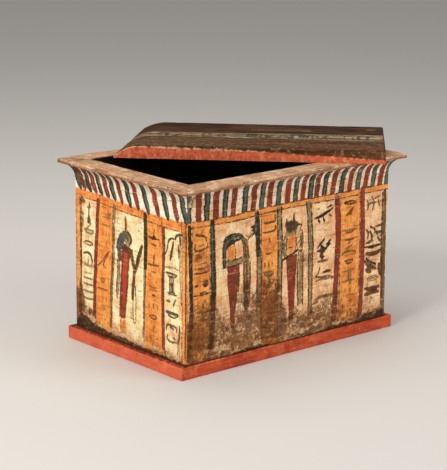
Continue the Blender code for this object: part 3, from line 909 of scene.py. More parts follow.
def paintedFinish(name, layers, woodenRim=False):
    f = Finish(name)
    fine = f.noise(420, 3, 0.6)
    middle = f.noise(140, 5, 0.66)
    broad = f.noise(30, 5, 0.62, 2.9)
    brush = f.noise(210, 4, 0.6, 3.1, (1, 1, 0.14))  # paint is brushed upwards
    level = f.noise(105, 5, 0.62, 5.5, (0.16, 0.16, 1.5))  # the boards' grain runs level
    mottled = f.noise(120, 6, 0.72, 2.2) * 0.45 + f.noise(34, 5, 0.68, 9.1) * 0.55
    uneven = mottled - 0.5
    ragged = (fine - 0.5) * 4.0 + (middle - 0.5) * 9.0
    flaking = (f.noise(85, 6, 0.72, 7.7) - 0.5) * 2.2 + (brush - 0.5) * 0.8
    grime = f.layer("grime")

    blush = f.mix((level * 0.2 + broad * 0.4 + middle * 0.4).ramp(0.44, 0.57), *palette["blush"])
    colour = f.coats(f.mix((broad * 0.5 + middle * 0.5).ramp(0.42, 0.58), *palette["plaster"]),
                     (f.layer("chalk") * 0.9, f.mix(middle.ramp(0.42, 0.58), *palette["chalk"])),
                     ((f.layer("blush") + grime * 0.8 + (broad - 0.5) * 1.6).ramp(-0.05, 0.8), blush))
    for layer in layers:
        tone = f.mix((brush * 0.35 + broad * 0.3 + middle * 0.35).ramp(0.43, 0.57), *palette[layer])
        kept = flaking.ramp(paintWear[layer], paintWear[layer] - 0.45)
        mask = (f.layer(layer) + ragged * 0.8).ramp(0.8, -0.8) * kept
        if layer == "ink":
            mask = mask * f.layer("strength")
        colour = f.mix(mask, colour, tone)
        paint = mask if layer == layers[0] else paint.maths("MAXIMUM", mask)

    # Grain, brush marks and scratches darken and lighten everything a little
    shade = level * 0.3 + middle * 0.4 + brush * 0.3
    scratches = f.noise(230, 3, 0.6, 8.8, (0.07, 0.07, 1.3))
    specks = f.noise(300, 3, 0.6, 11.3).ramp(0.60, 0.68).maths("MAXIMUM", scratches.ramp(0.60, 0.68))
    colour = f.coats(colour,
                     (shade.ramp(0.49, 0.41) * 0.6, umber, "MULTIPLY"),
                     (shade.ramp(0.54, 0.62) * 0.2, palette["pale"][0]),
                     (scratches.ramp(0.38, 0.31) * 0.28, palette["plaster"][0]),
                     (specks * 0.6, palette["brown"][1]))

    dirty = (grime * (uneven * 3.8 + (fine - 0.5) * 2.0 + 0.88) + uneven * 1.6).ramp(0.12, 0.95)
    soiled = f.mix((level * 0.3 + mottled * 0.7).ramp(0.44, 0.56), *palette["grime"])
    blotches = f.noise(100, 6, 0.75, 15.1).ramp(0.54, 0.61) * grime.ramp(0.05, 0.9)
    dust = f.mix(middle.ramp(0.4, 0.6), *palette["pale"])
    flecks = f.noise(95, 6, 0.72, 13.7, (0.35, 0.35, 1.2)).ramp(0.56, 0.64) * grime.ramp(0.15, 0.8) * 0.5
    patches = (f.layer("pale") + ragged * 2.2).ramp(2.0, -2.0) * mottled.ramp(0.42, 0.52) * 0.8
    bareEdge = f.layer("bare") + ragged * 1.6 + uneven * 26
    fringe = bareEdge.ramp(8.0, 0.0) * f.noise(50, 5, 0.7, 4.4).ramp(0.48, 0.58)
    bare = bareEdge.ramp(0.8, -0.8) * (1 - f.noise(75, 6, 0.72, 17.3).ramp(0.55, 0.62) * 0.7)
    grain = f.noise(36, 6, 0.65, 1.3, (0.18, 0.18, 5.0))
    wood = f.coats(f.mix(grain.ramp(0.4, 0.6), *palette["bareWood"]),
                   (f.noise(70, 6, 0.72, 6.3).ramp(0.53, 0.64) * 0.5, palette["grime"][0]))
    cracks = f.node("ShaderNodeTexVoronoi", {"feature": "DISTANCE_TO_EDGE"},
                    {"Vector": f.vector("MULTIPLY", f.place, (1.0, 1.0, 0.7)), "Scale": 46.0})
    crackLine = cracks.ramp(0.035, 0.008) * broad.ramp(0.5, 0.6) * 0.35
    worn = (f.layer("edge") + ragged * 0.8).ramp(0.8, -0.8)
    colour = f.coats(colour,
                     (dirty * 0.78, soiled),
                     (dirty * 0.55, umber, "MULTIPLY"),
                     (blotches * 0.75, palette["bareWood"][0]),
                     (flecks.maths("MAXIMUM", patches), dust),
                     (fringe * 0.6, dust),
                     (bare * 0.92, wood),
                     (crackLine, palette["bareWood"][0]),
                     (worn * 0.8, palette["plaster"][0]))
    height = paint * 0.3 + middle * 0.4 + fine * 0.15 + level * 0.5
    height = height - crackLine * 0.8 - bare * 1.4 + grain * bare * 0.9

    if woodenRim:
        unrolled = {"X": f.layer("along") * 0.012, "Y": f.layer("across") * 0.3}
        lines = f.texture(f.node("ShaderNodeCombineXYZ", values=unrolled), 1.0, 6.0, 0.7)
        rim = (f.layer("rim") + ragged * 0.5).ramp(0.6, -0.6)
        wood = f.coats(f.mix((lines * 0.7 + middle * 0.3).ramp(0.43, 0.57), *palette["rim"]),
                       (f.noise(34, 6, 0.7, 8.3).ramp(0.50, 0.62) * 0.7, srgb(222, 188, 154)),
                       (lines.ramp(0.52, 0.60) * 0.7, srgb(116, 88, 64)),
                       (f.noise(26, 5, 0.7, 5.9).ramp(0.53, 0.66) * 0.4, palette["orange"][1]),
                       (f.layer("lip") * 0.65, srgb(176, 106, 62)),
                       (f.noise(70, 6, 0.75, 3.9).ramp(0.57, 0.65) * 0.45, srgb(110, 80, 58)),
                       (worn * 0.7, srgb(240, 220, 192)),
                       ((grime + uneven * 2).ramp(0.3, 0.9) * 0.7, palette["grime"][1]))
        colour = f.coats(colour, (rim, wood), (f.layer("shadow"), palette["inside"][1]))
        height = height + lines * rim * 1.6
    return f.set(Base_Color=colour, Roughness=0.84 - paint * 0.1, Normal=f.bump(height, 0.6, 0.0007),
                 Specular_IOR_Level=0.12)


def insideWood():
    f = Finish("Dark inside wood")
    grain = f.noise(30, 7, 0.68, 1.9, (0.2, 0.2, 4.0))
    fibre = f.noise(300, 4, 0.6, 4.2, (0.1, 0.1, 4.0))
    height = grain * 0.6 + fibre * 0.4
    colour = f.mix(height.ramp(0.42, 0.58), *palette["inside"])
    return f.set(Base_Color=colour, Roughness=0.8, Normal=f.bump(height, 0.5, 0.0008),
                 Specular_IOR_Level=0.2)


wallFinish = paintedFinish("Painted plaster", paintLayers)
insideFinish = insideWood()
print("finishes ready")


# Walls

walls = {"step": 0.002, "endStep": 0.0023, "arris": 0.0016, "chips": 0.0030, "recess": 0.0007,
         "round": 0.00025, "foot": 0.0006, "footChips": 0.4, "cornerReach": (0.012, 0.004),
         "footReach": (0.01, 0.002)}


def wallCoordinates(face, points):
    x, y, z = points[..., 0], points[..., 1], points[..., 2]
    along = {"front": halfLength + x, "left": halfDepth - y, "back": halfLength - x, "right": halfDepth + y}
    return along[face][0] * 1000, z[:, 0] * 1000


def buildWall(node, faces):
    low, high = (np.array(corner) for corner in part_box(node))
    s = walls
    steps = [s["step"]] * 3
    steps[1 if high[0] - low[0] > high[1] - low[1] else 0] = s["endStep"]
    board = Board(low, high, steps, faces)
    grids, sunk = [], []
    for face in faces:
        points = board.gridPoints(face)
        layers = paintFace(face, *wallCoordinates(face, points))
        fixed, side = faceAxes[face][:2]
        depth = smooth(0.8, -0.8, layers["bare"]) * s["recess"]
        depth[:, 0] = depth[:, -1] = 0
        inward = np.zeros(3)
        inward[fixed] = 1 - 2 * side
        grids.append((points, layers))
        sunk.append((depth[..., None] * inward).reshape(-1, 3))

    def shift(points):
        x, y, z = points.T
        nearCorner = smooth(*s["cornerReach"], halfLength - np.abs(x))
        nearCorner = nearCorner * smooth(*s["cornerReach"], halfDepth - np.abs(y))
        nearFoot = smooth(*s["footReach"], z - low[2])
        chipping = smooth(0.1, 0.75, roughNoise(points, 0.03, 83)) * s["chips"]
        radius = s["round"] + nearCorner * (s["arris"] + chipping)
        radius = radius + nearFoot * (s["foot"] + chipping * s["footChips"])
        return board.roundEdges(points, radius) + warp(points)

    defaults = {**dict.fromkeys(paintLayers, far), **otherLayers}
    piece = joinPatches("painted_" + node, grids, board.caps(), defaults, shift, np.concatenate(sunk))
    shadeSoftly(piece, 35)
    place(piece, node, "painted_panel", wallFinish, insideFinish)


buildWall("wall_front", ["front", "left", "right"])
buildWall("wall_back", ["back", "left", "right"])
buildWall("wall_left", ["left"])
buildWall("wall_right", ["right"])


# Cornice: a node tree sweeps the moulding's section along each side and mitres its ends

cornice = {"step": 0.0026, "gap": 0.00022, "lip": 0.009, "overhang": 0.0296, "lipStep": 0.002,
           "lipFoot": 0.0006, "lipRound": 0.0032, "lipTurns": 4, "topStep": 0.0032, "coveSteps": 14,
           "grain": 0.0007, "wear": 0.0022, "cornerWear": 0.0022, "cornerChips": 0.0012, "leanReach": 12.6}
corniceLow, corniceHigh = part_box("cornice_front")
throat, rimTop = corniceLow.z, corniceHigh.z
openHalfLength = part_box("wall_right")[0].x
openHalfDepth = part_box("wall_back")[0].y
rimWidth = corniceHigh.x - openHalfLength
coveStart = rimWidth - cornice["overhang"]


def corniceSection():
    s = cornice
    tall = rimTop - throat
    hollow = tall - s["lip"]
    points = [(0.0, height) for height in (tall, tall - 0.003, tall * 0.5, 0.0)]
    points += [(coveStart * 0.5, 0.0), (coveStart, 0.0)]
    for step in range(1, s["coveSteps"] + 1):
        turn = math.pi / 2 * step / s["coveSteps"]
        reach = coveStart + (s["overhang"] - s["lipStep"]) * (1 - math.cos(turn))
        points.append((reach, hollow * math.sin(turn)))
    points += [(rimWidth - s["lipFoot"], hollow), (rimWidth, hollow + 0.0008)]
    points.append((rimWidth, hollow + s["lip"] * 0.45))
    for step in range(s["lipTurns"] + 1):
        turn = math.pi / 2 * step / s["lipTurns"]
        inward, down = (s["lipRound"] * (1 - part) for part in (math.cos(turn), math.sin(turn)))
        points.append((rimWidth - inward, tall - down))
    level = rimWidth - s["lipRound"]
    count = round(level / s["topStep"])
    points += [(level * (1 - step / count), tall) for step in range(1, count)]
    return points


def sweepTree():
    tree = bpy.data.node_groups.new("Mitred moulding", "GeometryNodeTree")
    tree.is_modifier = True
    for name, kind, default in (("Length", "Float", 1.0), ("Steps", "Int", 100),
                                ("Section", "Object", None), ("Finish", "Material", None),
                                ("Mitre", "Float", 1.0)):
        socket = tree.interface.new_socket(name, in_out="INPUT", socket_type="NodeSocket" + kind)
        if default is not None:
            socket.default_value = default
    tree.interface.new_socket("Geometry", in_out="OUTPUT", socket_type="NodeSocketGeometry")

    def add(kind, values=None, **settings):
        node = tree.nodes.new(kind)
        for name, value in settings.items():
            setattr(node, name, value)
        for name, value in (values or {}).items():
            if isinstance(value, bpy.types.NodeSocket):
                tree.links.new(value, node.inputs[name])
            else:
                node.inputs[name].default_value = value
        return node.outputs

    def maths(operation, *values):
        return add("ShaderNodeMath", dict(enumerate(values)), operation=operation)[0]

    def lengthways(x):
        return add("ShaderNodeCombineXYZ", {"X": x})[0]

    asked = add("NodeGroupInput")
    half = maths("MULTIPLY", asked["Length"], 0.5)
    ends = {"Start": lengthways(maths("MULTIPLY", half, -1.0)), "End": lengthways(half)}
    line = add("GeometryNodeCurvePrimitiveLine", ends)[0]
    fine = add("GeometryNodeResampleCurve", {"Curve": line, "Count": asked["Steps"]})[0]
    section = add("GeometryNodeObjectInfo", {"Object": asked["Section"]}, transform_space="ORIGINAL")
    profile = {"Curve": fine, "Profile Curve": section["Geometry"], "Fill Caps": True}
    swept = add("GeometryNodeCurveToMesh", profile)[0]
    parts = add("ShaderNodeSeparateXYZ", {0: add("GeometryNodeInputPosition")[0]})
    slide = maths("MULTIPLY", maths("DIVIDE", parts["X"], half), maths("ABSOLUTE", parts["Y"]))
    offset = lengthways(maths("MULTIPLY", slide, asked["Mitre"]))
    mitred = add("GeometryNodeSetPosition", {"Geometry": swept, "Offset": offset})[0]
    real = add("GeometryNodeRealizeInstances", {"Geometry": mitred})[0]
    coated = add("GeometryNodeSetMaterial", {"Geometry": real, "Material": asked["Finish"]})[0]
    add("NodeGroupOutput", {0: coated})
    return tree


def sectionCurve():
    data = bpy.data.curves.new("Cornice section", "CURVE")
    data.dimensions = "2D"
    spline = data.splines.new("POLY")
    section = corniceSection()
    spline.points.add(len(section) - 1)
    for point, (reach, height) in zip(spline.points, section):
        point.co = (reach, height, 0.0, 1.0)
    spline.use_cyclic_u = True
    return addObject("Cornice section", data)


# Stripes lean as the moulding comes forward: millimetres at the face's left end, and more for each along
stripeLean = {"front": (-11.0, 0.035), "left": (-9.2, 0.03), "back": (-5.0, 0.016), "right": (-5.0, 0.024)}
rimBlush = {"front": 0.12, "left": -0.3, "back": 0.0, "right": 0.0}


def corniceLayers(along, reach, height, face, seed):
    # In the moulding's own millimetres: along it from the left corner, reach out, height above the throat
    chance = random.Random(seed)
    past = reach - coveStart * 1000
    outward = np.clip(past / cornice["leanReach"], 0, 1.6)
    layers = {name: np.full(along.shape, far) for name in ("red", "green", "teal", "pale")}
    for place, kind, width in stripePlan(face):
        lean = stripeLean[face][0] + stripeLean[face][1] * place + chance.uniform(-1, 1)
        middle = place + lean * outward + 0.8 * np.sin(outward * 4 + chance.uniform(0, 6))
        half = width / 2 * (1.02 + 0.06 * np.sin(outward * 3))
        layers[kind] = np.minimum(layers[kind], np.abs(along - middle) - half)
        if kind == "green":
            inner = np.abs(along - middle - 1.5) - half * chance.uniform(0.25, 0.7)
            layers["teal"] = np.minimum(layers["teal"], inner)
    ways = np.stack([along, along * 0, along * 0], -1)
    layers["rim"] = np.where(past < -0.3, -6.0, 34.2 + 1.1 * softNoise(ways, 18, seed) - height)
    underLip = 0.5 * np.exp(-((height - 34.6) / 0.9) ** 2) * (past > 0)
    layers["shadow"] = np.where((reach < 1.0) & (height < 42), 1.0, underLip)
    layers["lip"] = smooth(41, 37, height) * smooth(33, 34.5, height)
    layers["along"], layers["across"] = along, reach + height
    dust = roughNoise(np.stack([along, reach, height], -1), 40, seed + 3)
    layers["grime"] = 0.10 + 0.25 * np.clip(dust, 0, 1)
    for name, value in (("chalk", 1.0), ("blush", rimBlush[face]), ("bare", 40.0)):
        layers[name] = np.full(along.shape, value)
    if face == "front":
        layers["grime"] += 0.3 * np.exp(-((along - 8) / 14) ** 2)
        layers["pale"] = np.minimum(np.abs(along - 7) - 3, far)
    if face == "left":
        layers["grime"] += 0.5 * smooth(70, 10, along)
    arris = np.abs(reach - rimWidth * 1000) + np.minimum(np.abs(height - 43) * 0.7, np.abs(height - 34))
    layers["edge"] = np.minimum(arris, 40.0) - 0.6 + 1.6 * softNoise(ways, 22, seed + 5)
    return layers


def sweptMesh(tree, wanted):
    carrier = addObject("Sweep", bpy.data.meshes.new("Sweep"))
    modifier = carrier.modifiers.new("Moulding", "NODES")
    modifier.node_group = tree
    for socket in tree.interface.items_tree:
        if socket.in_out == "INPUT":
            modifier[socket.identifier] = wanted[socket.name]
    mesh = bpy.data.meshes.new_from_object(carrier.evaluated_get(bpy.context.evaluated_depsgraph_get()))
    bpy.data.objects.remove(carrier, do_unlink=True)
    return mesh


def buildCornice(tree, section, finish, face, degrees, seed):
    s = cornice
    isLong = face in ("front", "back")
    length, out = (openHalfLength, openHalfDepth) if isLong else (openHalfDepth, openHalfLength)
    steps = round((length * 2 + rimWidth) / s["step"])
    mesh = sweptMesh(tree, {"Length": length * 2 - 2 * s["gap"], "Steps": steps, "Section": section,
                            "Finish": finish, "Mitre": 1.0})
    count = len(mesh.vertices)
    flat = np.zeros(count * 3)
    mesh.vertices.foreach_get("co", flat)
    x, reach, height = flat.reshape(-1, 3).T
    reach, height = np.abs(reach), np.abs(height)
    layers = corniceLayers((x + length + coveStart) * 1000, reach * 1000, height * 1000, face, seed)

    turned = np.array(Matrix.Rotation(math.radians(degrees), 3, "Z")).T
    placed = np.stack([x, -reach - out, height + throat], -1) @ turned
    lip = smooth(0.03, 0.036, height)
    corner = smooth(0.03, 0.0, length + reach - np.abs(x)) * smooth(rimWidth - 0.012, rimWidth, reach)
    worn = smooth(0.05, 0.8, roughNoise(placed, 0.05, 91)) * s["wear"] * lip
    worn = worn + corner * (s["cornerWear"] + s["cornerChips"] * softNoise(placed, 0.01, 17))
    grainWay = np.array([0.12, 1, 1] if isLong else [1, 0.12, 1])
    grain = softNoise(placed * grainWay, 0.0035, 97) * s["grain"] * lip
    inward = worn * smooth(rimWidth - 0.01, rimWidth, reach)
    pull = np.stack([np.zeros(count), inward, -worn * 0.35 - np.abs(grain) * 0.5], -1)
    placed = placed + pull @ turned + warp(placed)
    mesh.vertices.foreach_set("co", placed.reshape(-1))
    for name, value in layers.items():
        writeLayer(mesh, name, "POINT", value)
    mesh.update()
    turnOutwards(mesh)
    piece = addObject("striped_cornice_" + face, mesh)
    shadeSoftly(piece, 40)
    place(piece, "cornice_" + face, "cornice_stripes")


mouldingTree = sweepTree()
mouldingSection = sectionCurve()
stripedFinish = paintedFinish("Striped cornice", ("red", "green", "teal"), True)
for face, degrees, seed in (("front", 0, 101), ("right", 90, 103), ("back", 180, 107), ("left", -90, 109)):
    buildCornice(mouldingTree, mouldingSection, stripedFinish, face, degrees, seed)
bpy.data.objects.remove(mouldingSection, do_unlink=True)


# Plinth

# The plinth's "light" is the share of painted light on its left end, the end that faces the key lamp
plinth = {"step": 0.0035, "arris": 0.0012, "chips": 0.0018, "innerRound": 0.25, "level": 0.4, "light": 0.6,
          "pegs": ((20.0, 15.0), (-118.0, 14.0), (128.0, 13.0)), "peg": 1.7}


def plinthFinish():
    f = Finish("Red plinth paint")
    fine = f.noise(420, 3, 0.6)
    middle = f.noise(130, 5, 0.66)
    broad = f.noise(16, 5, 0.65)
    streak = f.noise(90, 5, 0.65, 2.4, (0.16, 0.16, 1.6))
    worn = (f.layer("edge") + (middle - 0.5) * 9 + (broad - 0.5) * 8 + (fine - 0.5) * 3).ramp(0.9, -0.7)
    holes = (f.layer("hole") + (fine - 0.5) * 0.8).ramp(0.5, -0.5)
    # Dust and painted shadow: darker along the foot, on the top where the walls stand and on the left ledge
    dustAndShadow = (f.layer("grime") + (middle - 0.5) * 1.6).ramp(0.3, 0.8)
    colour = f.coats(f.mix((broad * 0.45 + streak * 0.55).ramp(0.42, 0.58), *palette["plinth"]),
                     # Painted light: the left end is made a lighter red
                     (f.layer("light") * 0.75, srgb(240, 124, 92)),
                     (f.noise(45, 6, 0.72, 6.1).ramp(0.52, 0.64) * 0.4, srgb(232, 132, 92)),
                     (f.noise(70, 6, 0.72, 9.4).ramp(0.56, 0.68) * 0.5, srgb(132, 54, 34)),
                     (streak.ramp(0.46, 0.38) * 0.5, umber, "MULTIPLY"),
                     (f.noise(300, 3, 0.6, 3.7).ramp(0.6, 0.7) * 0.6, palette["bareWood"][1]),
                     (worn * 0.6, srgb(232, 160, 116)),
                     (holes, palette["bareWood"][1]),
                     (dustAndShadow * 0.9, srgb(60, 30, 22)))
    height = middle * 0.5 + fine * 0.2 + streak * 0.6 - holes * 1.5 - worn * 0.4
    return f.set(Base_Color=colour, Roughness=0.74 + middle * 0.12, Normal=f.bump(height, 0.5, 0.0008),
                 Specular_IOR_Level=0.15)


def plinthLayers(name, points, low, high, outer):
    x, y, z = (points[..., axis] * 1000 for axis in range(3))
    low, high, outer = (np.array(corner) * 1000 for corner in (low, high, outer))
    past = np.stack([outer[0] - np.abs(x), outer[1] - np.abs(y), high[2] - z], -1)
    past.sort(axis=-1)
    edge = past[..., 1] + 0.6
    if name in ("front", "back"):
        edge = np.minimum(edge, np.minimum(np.abs(x - low[0]), np.abs(x - high[0])) * 1.3)
    hole = np.full(x.shape, far)
    if name == "left":
        for pegY, pegZ in plinth["pegs"]:
            hole = np.minimum(hole, np.hypot(y - pegY, z - pegZ) - plinth["peg"])
    # Darker along the foot, on the top where the walls stand and on the left ledge: dust, and painted
    # shadow
    grime = 0.3 * smooth(5, 0, z)
    if name == "top":  # dust and shadow gather where the walls stand
        toBox = np.maximum(np.abs(x) - halfLength * 1000, np.abs(y) - halfDepth * 1000)
        grime = smooth(9, 1, toBox) + 0.55 * smooth(-300, -306, x)
        edge = edge + 1.5
    # Painted light: only the left end, which faces the key lamp, is given a lighter red
    light = np.full(x.shape, plinth["light"] if name == "left" else 0.0)
    return {"edge": edge, "hole": hole, "grime": grime, "light": light}


def buildPlinth(node, faces, finish):
    low, high = (np.array(corner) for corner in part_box(node))
    s = plinth
    board = Board(low, high, [s["step"]] * 3, faces)
    outer = (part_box("base_batten_right")[1].x, high[1])
    patches = [board.gridPoints(name) for name in faces]
    grids = [(patch, plinthLayers(name, patch, low, high, outer)) for name, patch in zip(faces, patches)]

    def shift(points):
        chipping = smooth(0.1, 0.8, roughNoise(points, 0.022, 131)) * s["chips"]
        x = points[:, 0]
        inner = smooth(0.006, 0.002, np.minimum(np.abs(x - low[0]), np.abs(x - high[0])))
        inner = inner * smooth(0.004, 0.01, outer[0] - np.abs(x))
        radius = (s["arris"] + chipping) * (1 - (1 - s["innerRound"]) * inner)
        return board.roundEdges(points, radius) + warp(points) * np.array([1, 1, s["level"]])

    defaults = {"edge": far, "hole": far, "grime": 0.0, "light": 0.0}
    piece = joinPatches("red_" + node, grids, board.caps(), defaults, shift)
    shadeSoftly(piece, 35)
    place(piece, node, "plinth_red", finish, finish)


redFinish = plinthFinish()
buildPlinth("base_board", ["front", "back", "top"], redFinish)
for side in ("left", "right"):
    buildPlinth("base_batten_" + side, ["front", "back", "left", "right", "top"], redFinish)


# Lid: its outline is worked out in the lid's own frame, then turned onto the rim

lid = {"turn": -45.0, "shift": (0.114, 0.062), "length": 0.606, "depth": 0.360, "front": 0.030,
       "back": 0.018, "nose": 0.056, "noseThick": 0.004, "noseSkew": 0.028, "gap": 0.0003, "step": 0.0026,
       "rows": 13, "arris": 0.0022, "chips": 0.0022, "softCorner": 0.004, "grain": 0.00045, "marks": 262}
lidLayers = ("orange", "green", "grey", "ink", "edge", "red")
lidRows = [
    ("grey", 6, (-20, 86, 50, 90, 120, 94), (66, -110, 96, -112), (262, 122, 284, 126), (104, 78, 124, 82)),
    ("grey", "oval", (284, -6, 14, 12)),
]


def lidHeight(x, y):
    s = lid
    full = s["front"] + (s["back"] - s["front"]) * (y + s["depth"] / 2) / s["depth"]
    start = np.clip((x + s["length"] / 2) / s["nose"], 0, 1)
    noseShare = s["noseThick"] / s["front"]
    return full * (noseShare + (1 - noseShare) * (1 - (1 - start) ** 2))


def lidTopLayers(x, y):
    p = Painting(x, y, 57)
    low, high = p.line([(-303, -45), (-130, -43), (303, -56)]), p.line([(-303, 10), (-235, 30), (303, 44)])
    band = np.maximum(low - p.v, p.v - high)
    p.layers["orange"] = np.minimum(band, far)
    p.layers["green"] = np.minimum(np.abs(band) - 1.8, far)
    chance = p.random
    spot = -float(lid["marks"])
    while spot < lid["marks"]:
        wide = chance.uniform(7, 17)
        mark = (chance.choice(list(marks)), -8 + chance.uniform(-8, 8), chance.uniform(18, 30), 1.0,
                chance.uniform(0.75, 1.0))
        p.column("ink", [mark], spot + wide, wide, 7)
        end = spot + wide * 2
        if chance.random() < 0.6:
            p.stroke("ink", [(end + 6, 22), (end + 4, 0), (end + 7, -34)], chance.uniform(4, 8))
        spot += wide * 2 + chance.uniform(8, 18)
    p.draw(lidRows)
    return p.layers


def lidFinish():
    f = Finish("Varnished lid")
    fine = f.noise(420, 3, 0.6)
    middle = f.noise(130, 5, 0.66)
    # The grain follows the board, so it is read in the lid's own frame
    turn = (0, 0, math.radians(-lid["turn"]))
    own = f.node("ShaderNodeMapping", {"vector_type": "POINT"}, {"Vector": f.place, "Rotation": turn})

    def along(scale, squeeze, shift):
        vector = f.vector("MULTIPLY_ADD", own, (squeeze, 1, 1), (shift, shift, shift))
        return f.texture(vector, scale, 6.0, 0.68)

    def ownAxis(axis):
        return f.node("ShaderNodeSeparateXYZ", values={"Vector": own}, output=axis)

    grain = along(45, 0.1, 1.1)
    fibre = along(170, 0.08, 4.7)
    ragged = (fine - 0.5) * 3 + (middle - 0.5) * 8
    flaking = (f.noise(70, 6, 0.72, 7.7) - 0.5) * 2.2 + (grain - 0.5) * 1.6
    nearFront = (ownAxis("Y") + (grain - 0.5) * 0.3).ramp(0.11, 0.0)
    frontTone = f.coats(f.mix(ownAxis("X").ramp(0.16, -0.1), *palette["lidFront"]),
                        ((fibre * 0.5 + grain * 0.5).ramp(0.46, 0.56) * 0.85, srgb(58, 42, 29)))
    colour = f.mix((grain * 0.6 + fibre * 0.4).ramp(0.43, 0.57), *palette["varnish"])
    for grainSettings, tone in (((14, 0.35, 2.3), srgb(90, 66, 36)), ((24, 0.25, 6.6), srgb(80, 56, 37)),
                                ((20, 0.2, 8.2), srgb(104, 48, 28)), ((60, 0.12, 3.4), srgb(24, 16, 11)),
                                ((120, 0.1, 9.5), srgb(112, 80, 50))):
        colour = f.mix(along(*grainSettings).ramp(0.52, 0.64) * 0.5, colour, tone)
    band = (f.layer("orange") + ragged * 0.8).ramp(0.8, -0.8) * flaking.ramp(0.6, 0.0)
    bandTone = f.coats(f.mix((middle * 0.5 + grain * 0.5).ramp(0.43, 0.57), *palette["lidBand"]),
                       (along(30, 0.35, 12.4).ramp(0.52, 0.60) * 0.7, srgb(184, 172, 146)),
                       (along(26, 0.35, 14.9).ramp(0.53, 0.60) * 0.7, srgb(74, 58, 40)))
    colour = f.coats(colour,
                     (nearFront * 0.8, frontTone),
                     (f.noise(110, 6, 0.72, 6.4).ramp(0.53, 0.62) * nearFront * 0.6, srgb(160, 122, 82)),
                     (band * 0.85, bandTone))
    for layer, tone, amount in (("green", srgb(34, 24, 17), 0.8), ("grey", srgb(176, 142, 88), 0.5),
                                ("ink", srgb(44, 34, 24), 0.75)):
        inside = (f.layer(layer) + ragged * 1.2).ramp(2.2, -1.4) * flaking.ramp(0.6, 0.1)
        colour = f.mix(inside * amount, colour, tone)
    red = (f.layer("red") + ragged * 1.0 + (grain - 0.5) * 9).ramp(1.8, -1.8)
    redTone = f.coats(f.mix((grain * 0.5 + middle * 0.5).ramp(0.42, 0.58), *palette["lidEdge"]),
                      (f.noise(60, 5, 0.7, 5.2).ramp(0.54, 0.64) * 0.5, srgb(158, 66, 46)),
                      (f.noise(90, 6, 0.8, 3.4, (1, 1, 0.6)).ramp(0.50, 0.60) * 0.45, srgb(242, 166, 122)))
    worn = (f.layer("edge") + (middle - 0.5) * 11 + (fine - 0.5) * 4.0).ramp(0.8, -1.0)
    colour = f.coats(colour, (red * 0.95, redTone), (worn * 0.6, srgb(236, 194, 156)))
    height = middle * 0.15 + grain * 0.7 + fibre * 0.5 + band * 0.25 - worn * 0.4
    return f.set(Base_Color=colour, Roughness=0.76 + middle * 0.16, Normal=f.bump(height, 0.7, 0.0012),
                 Specular_IOR_Level=0.06)


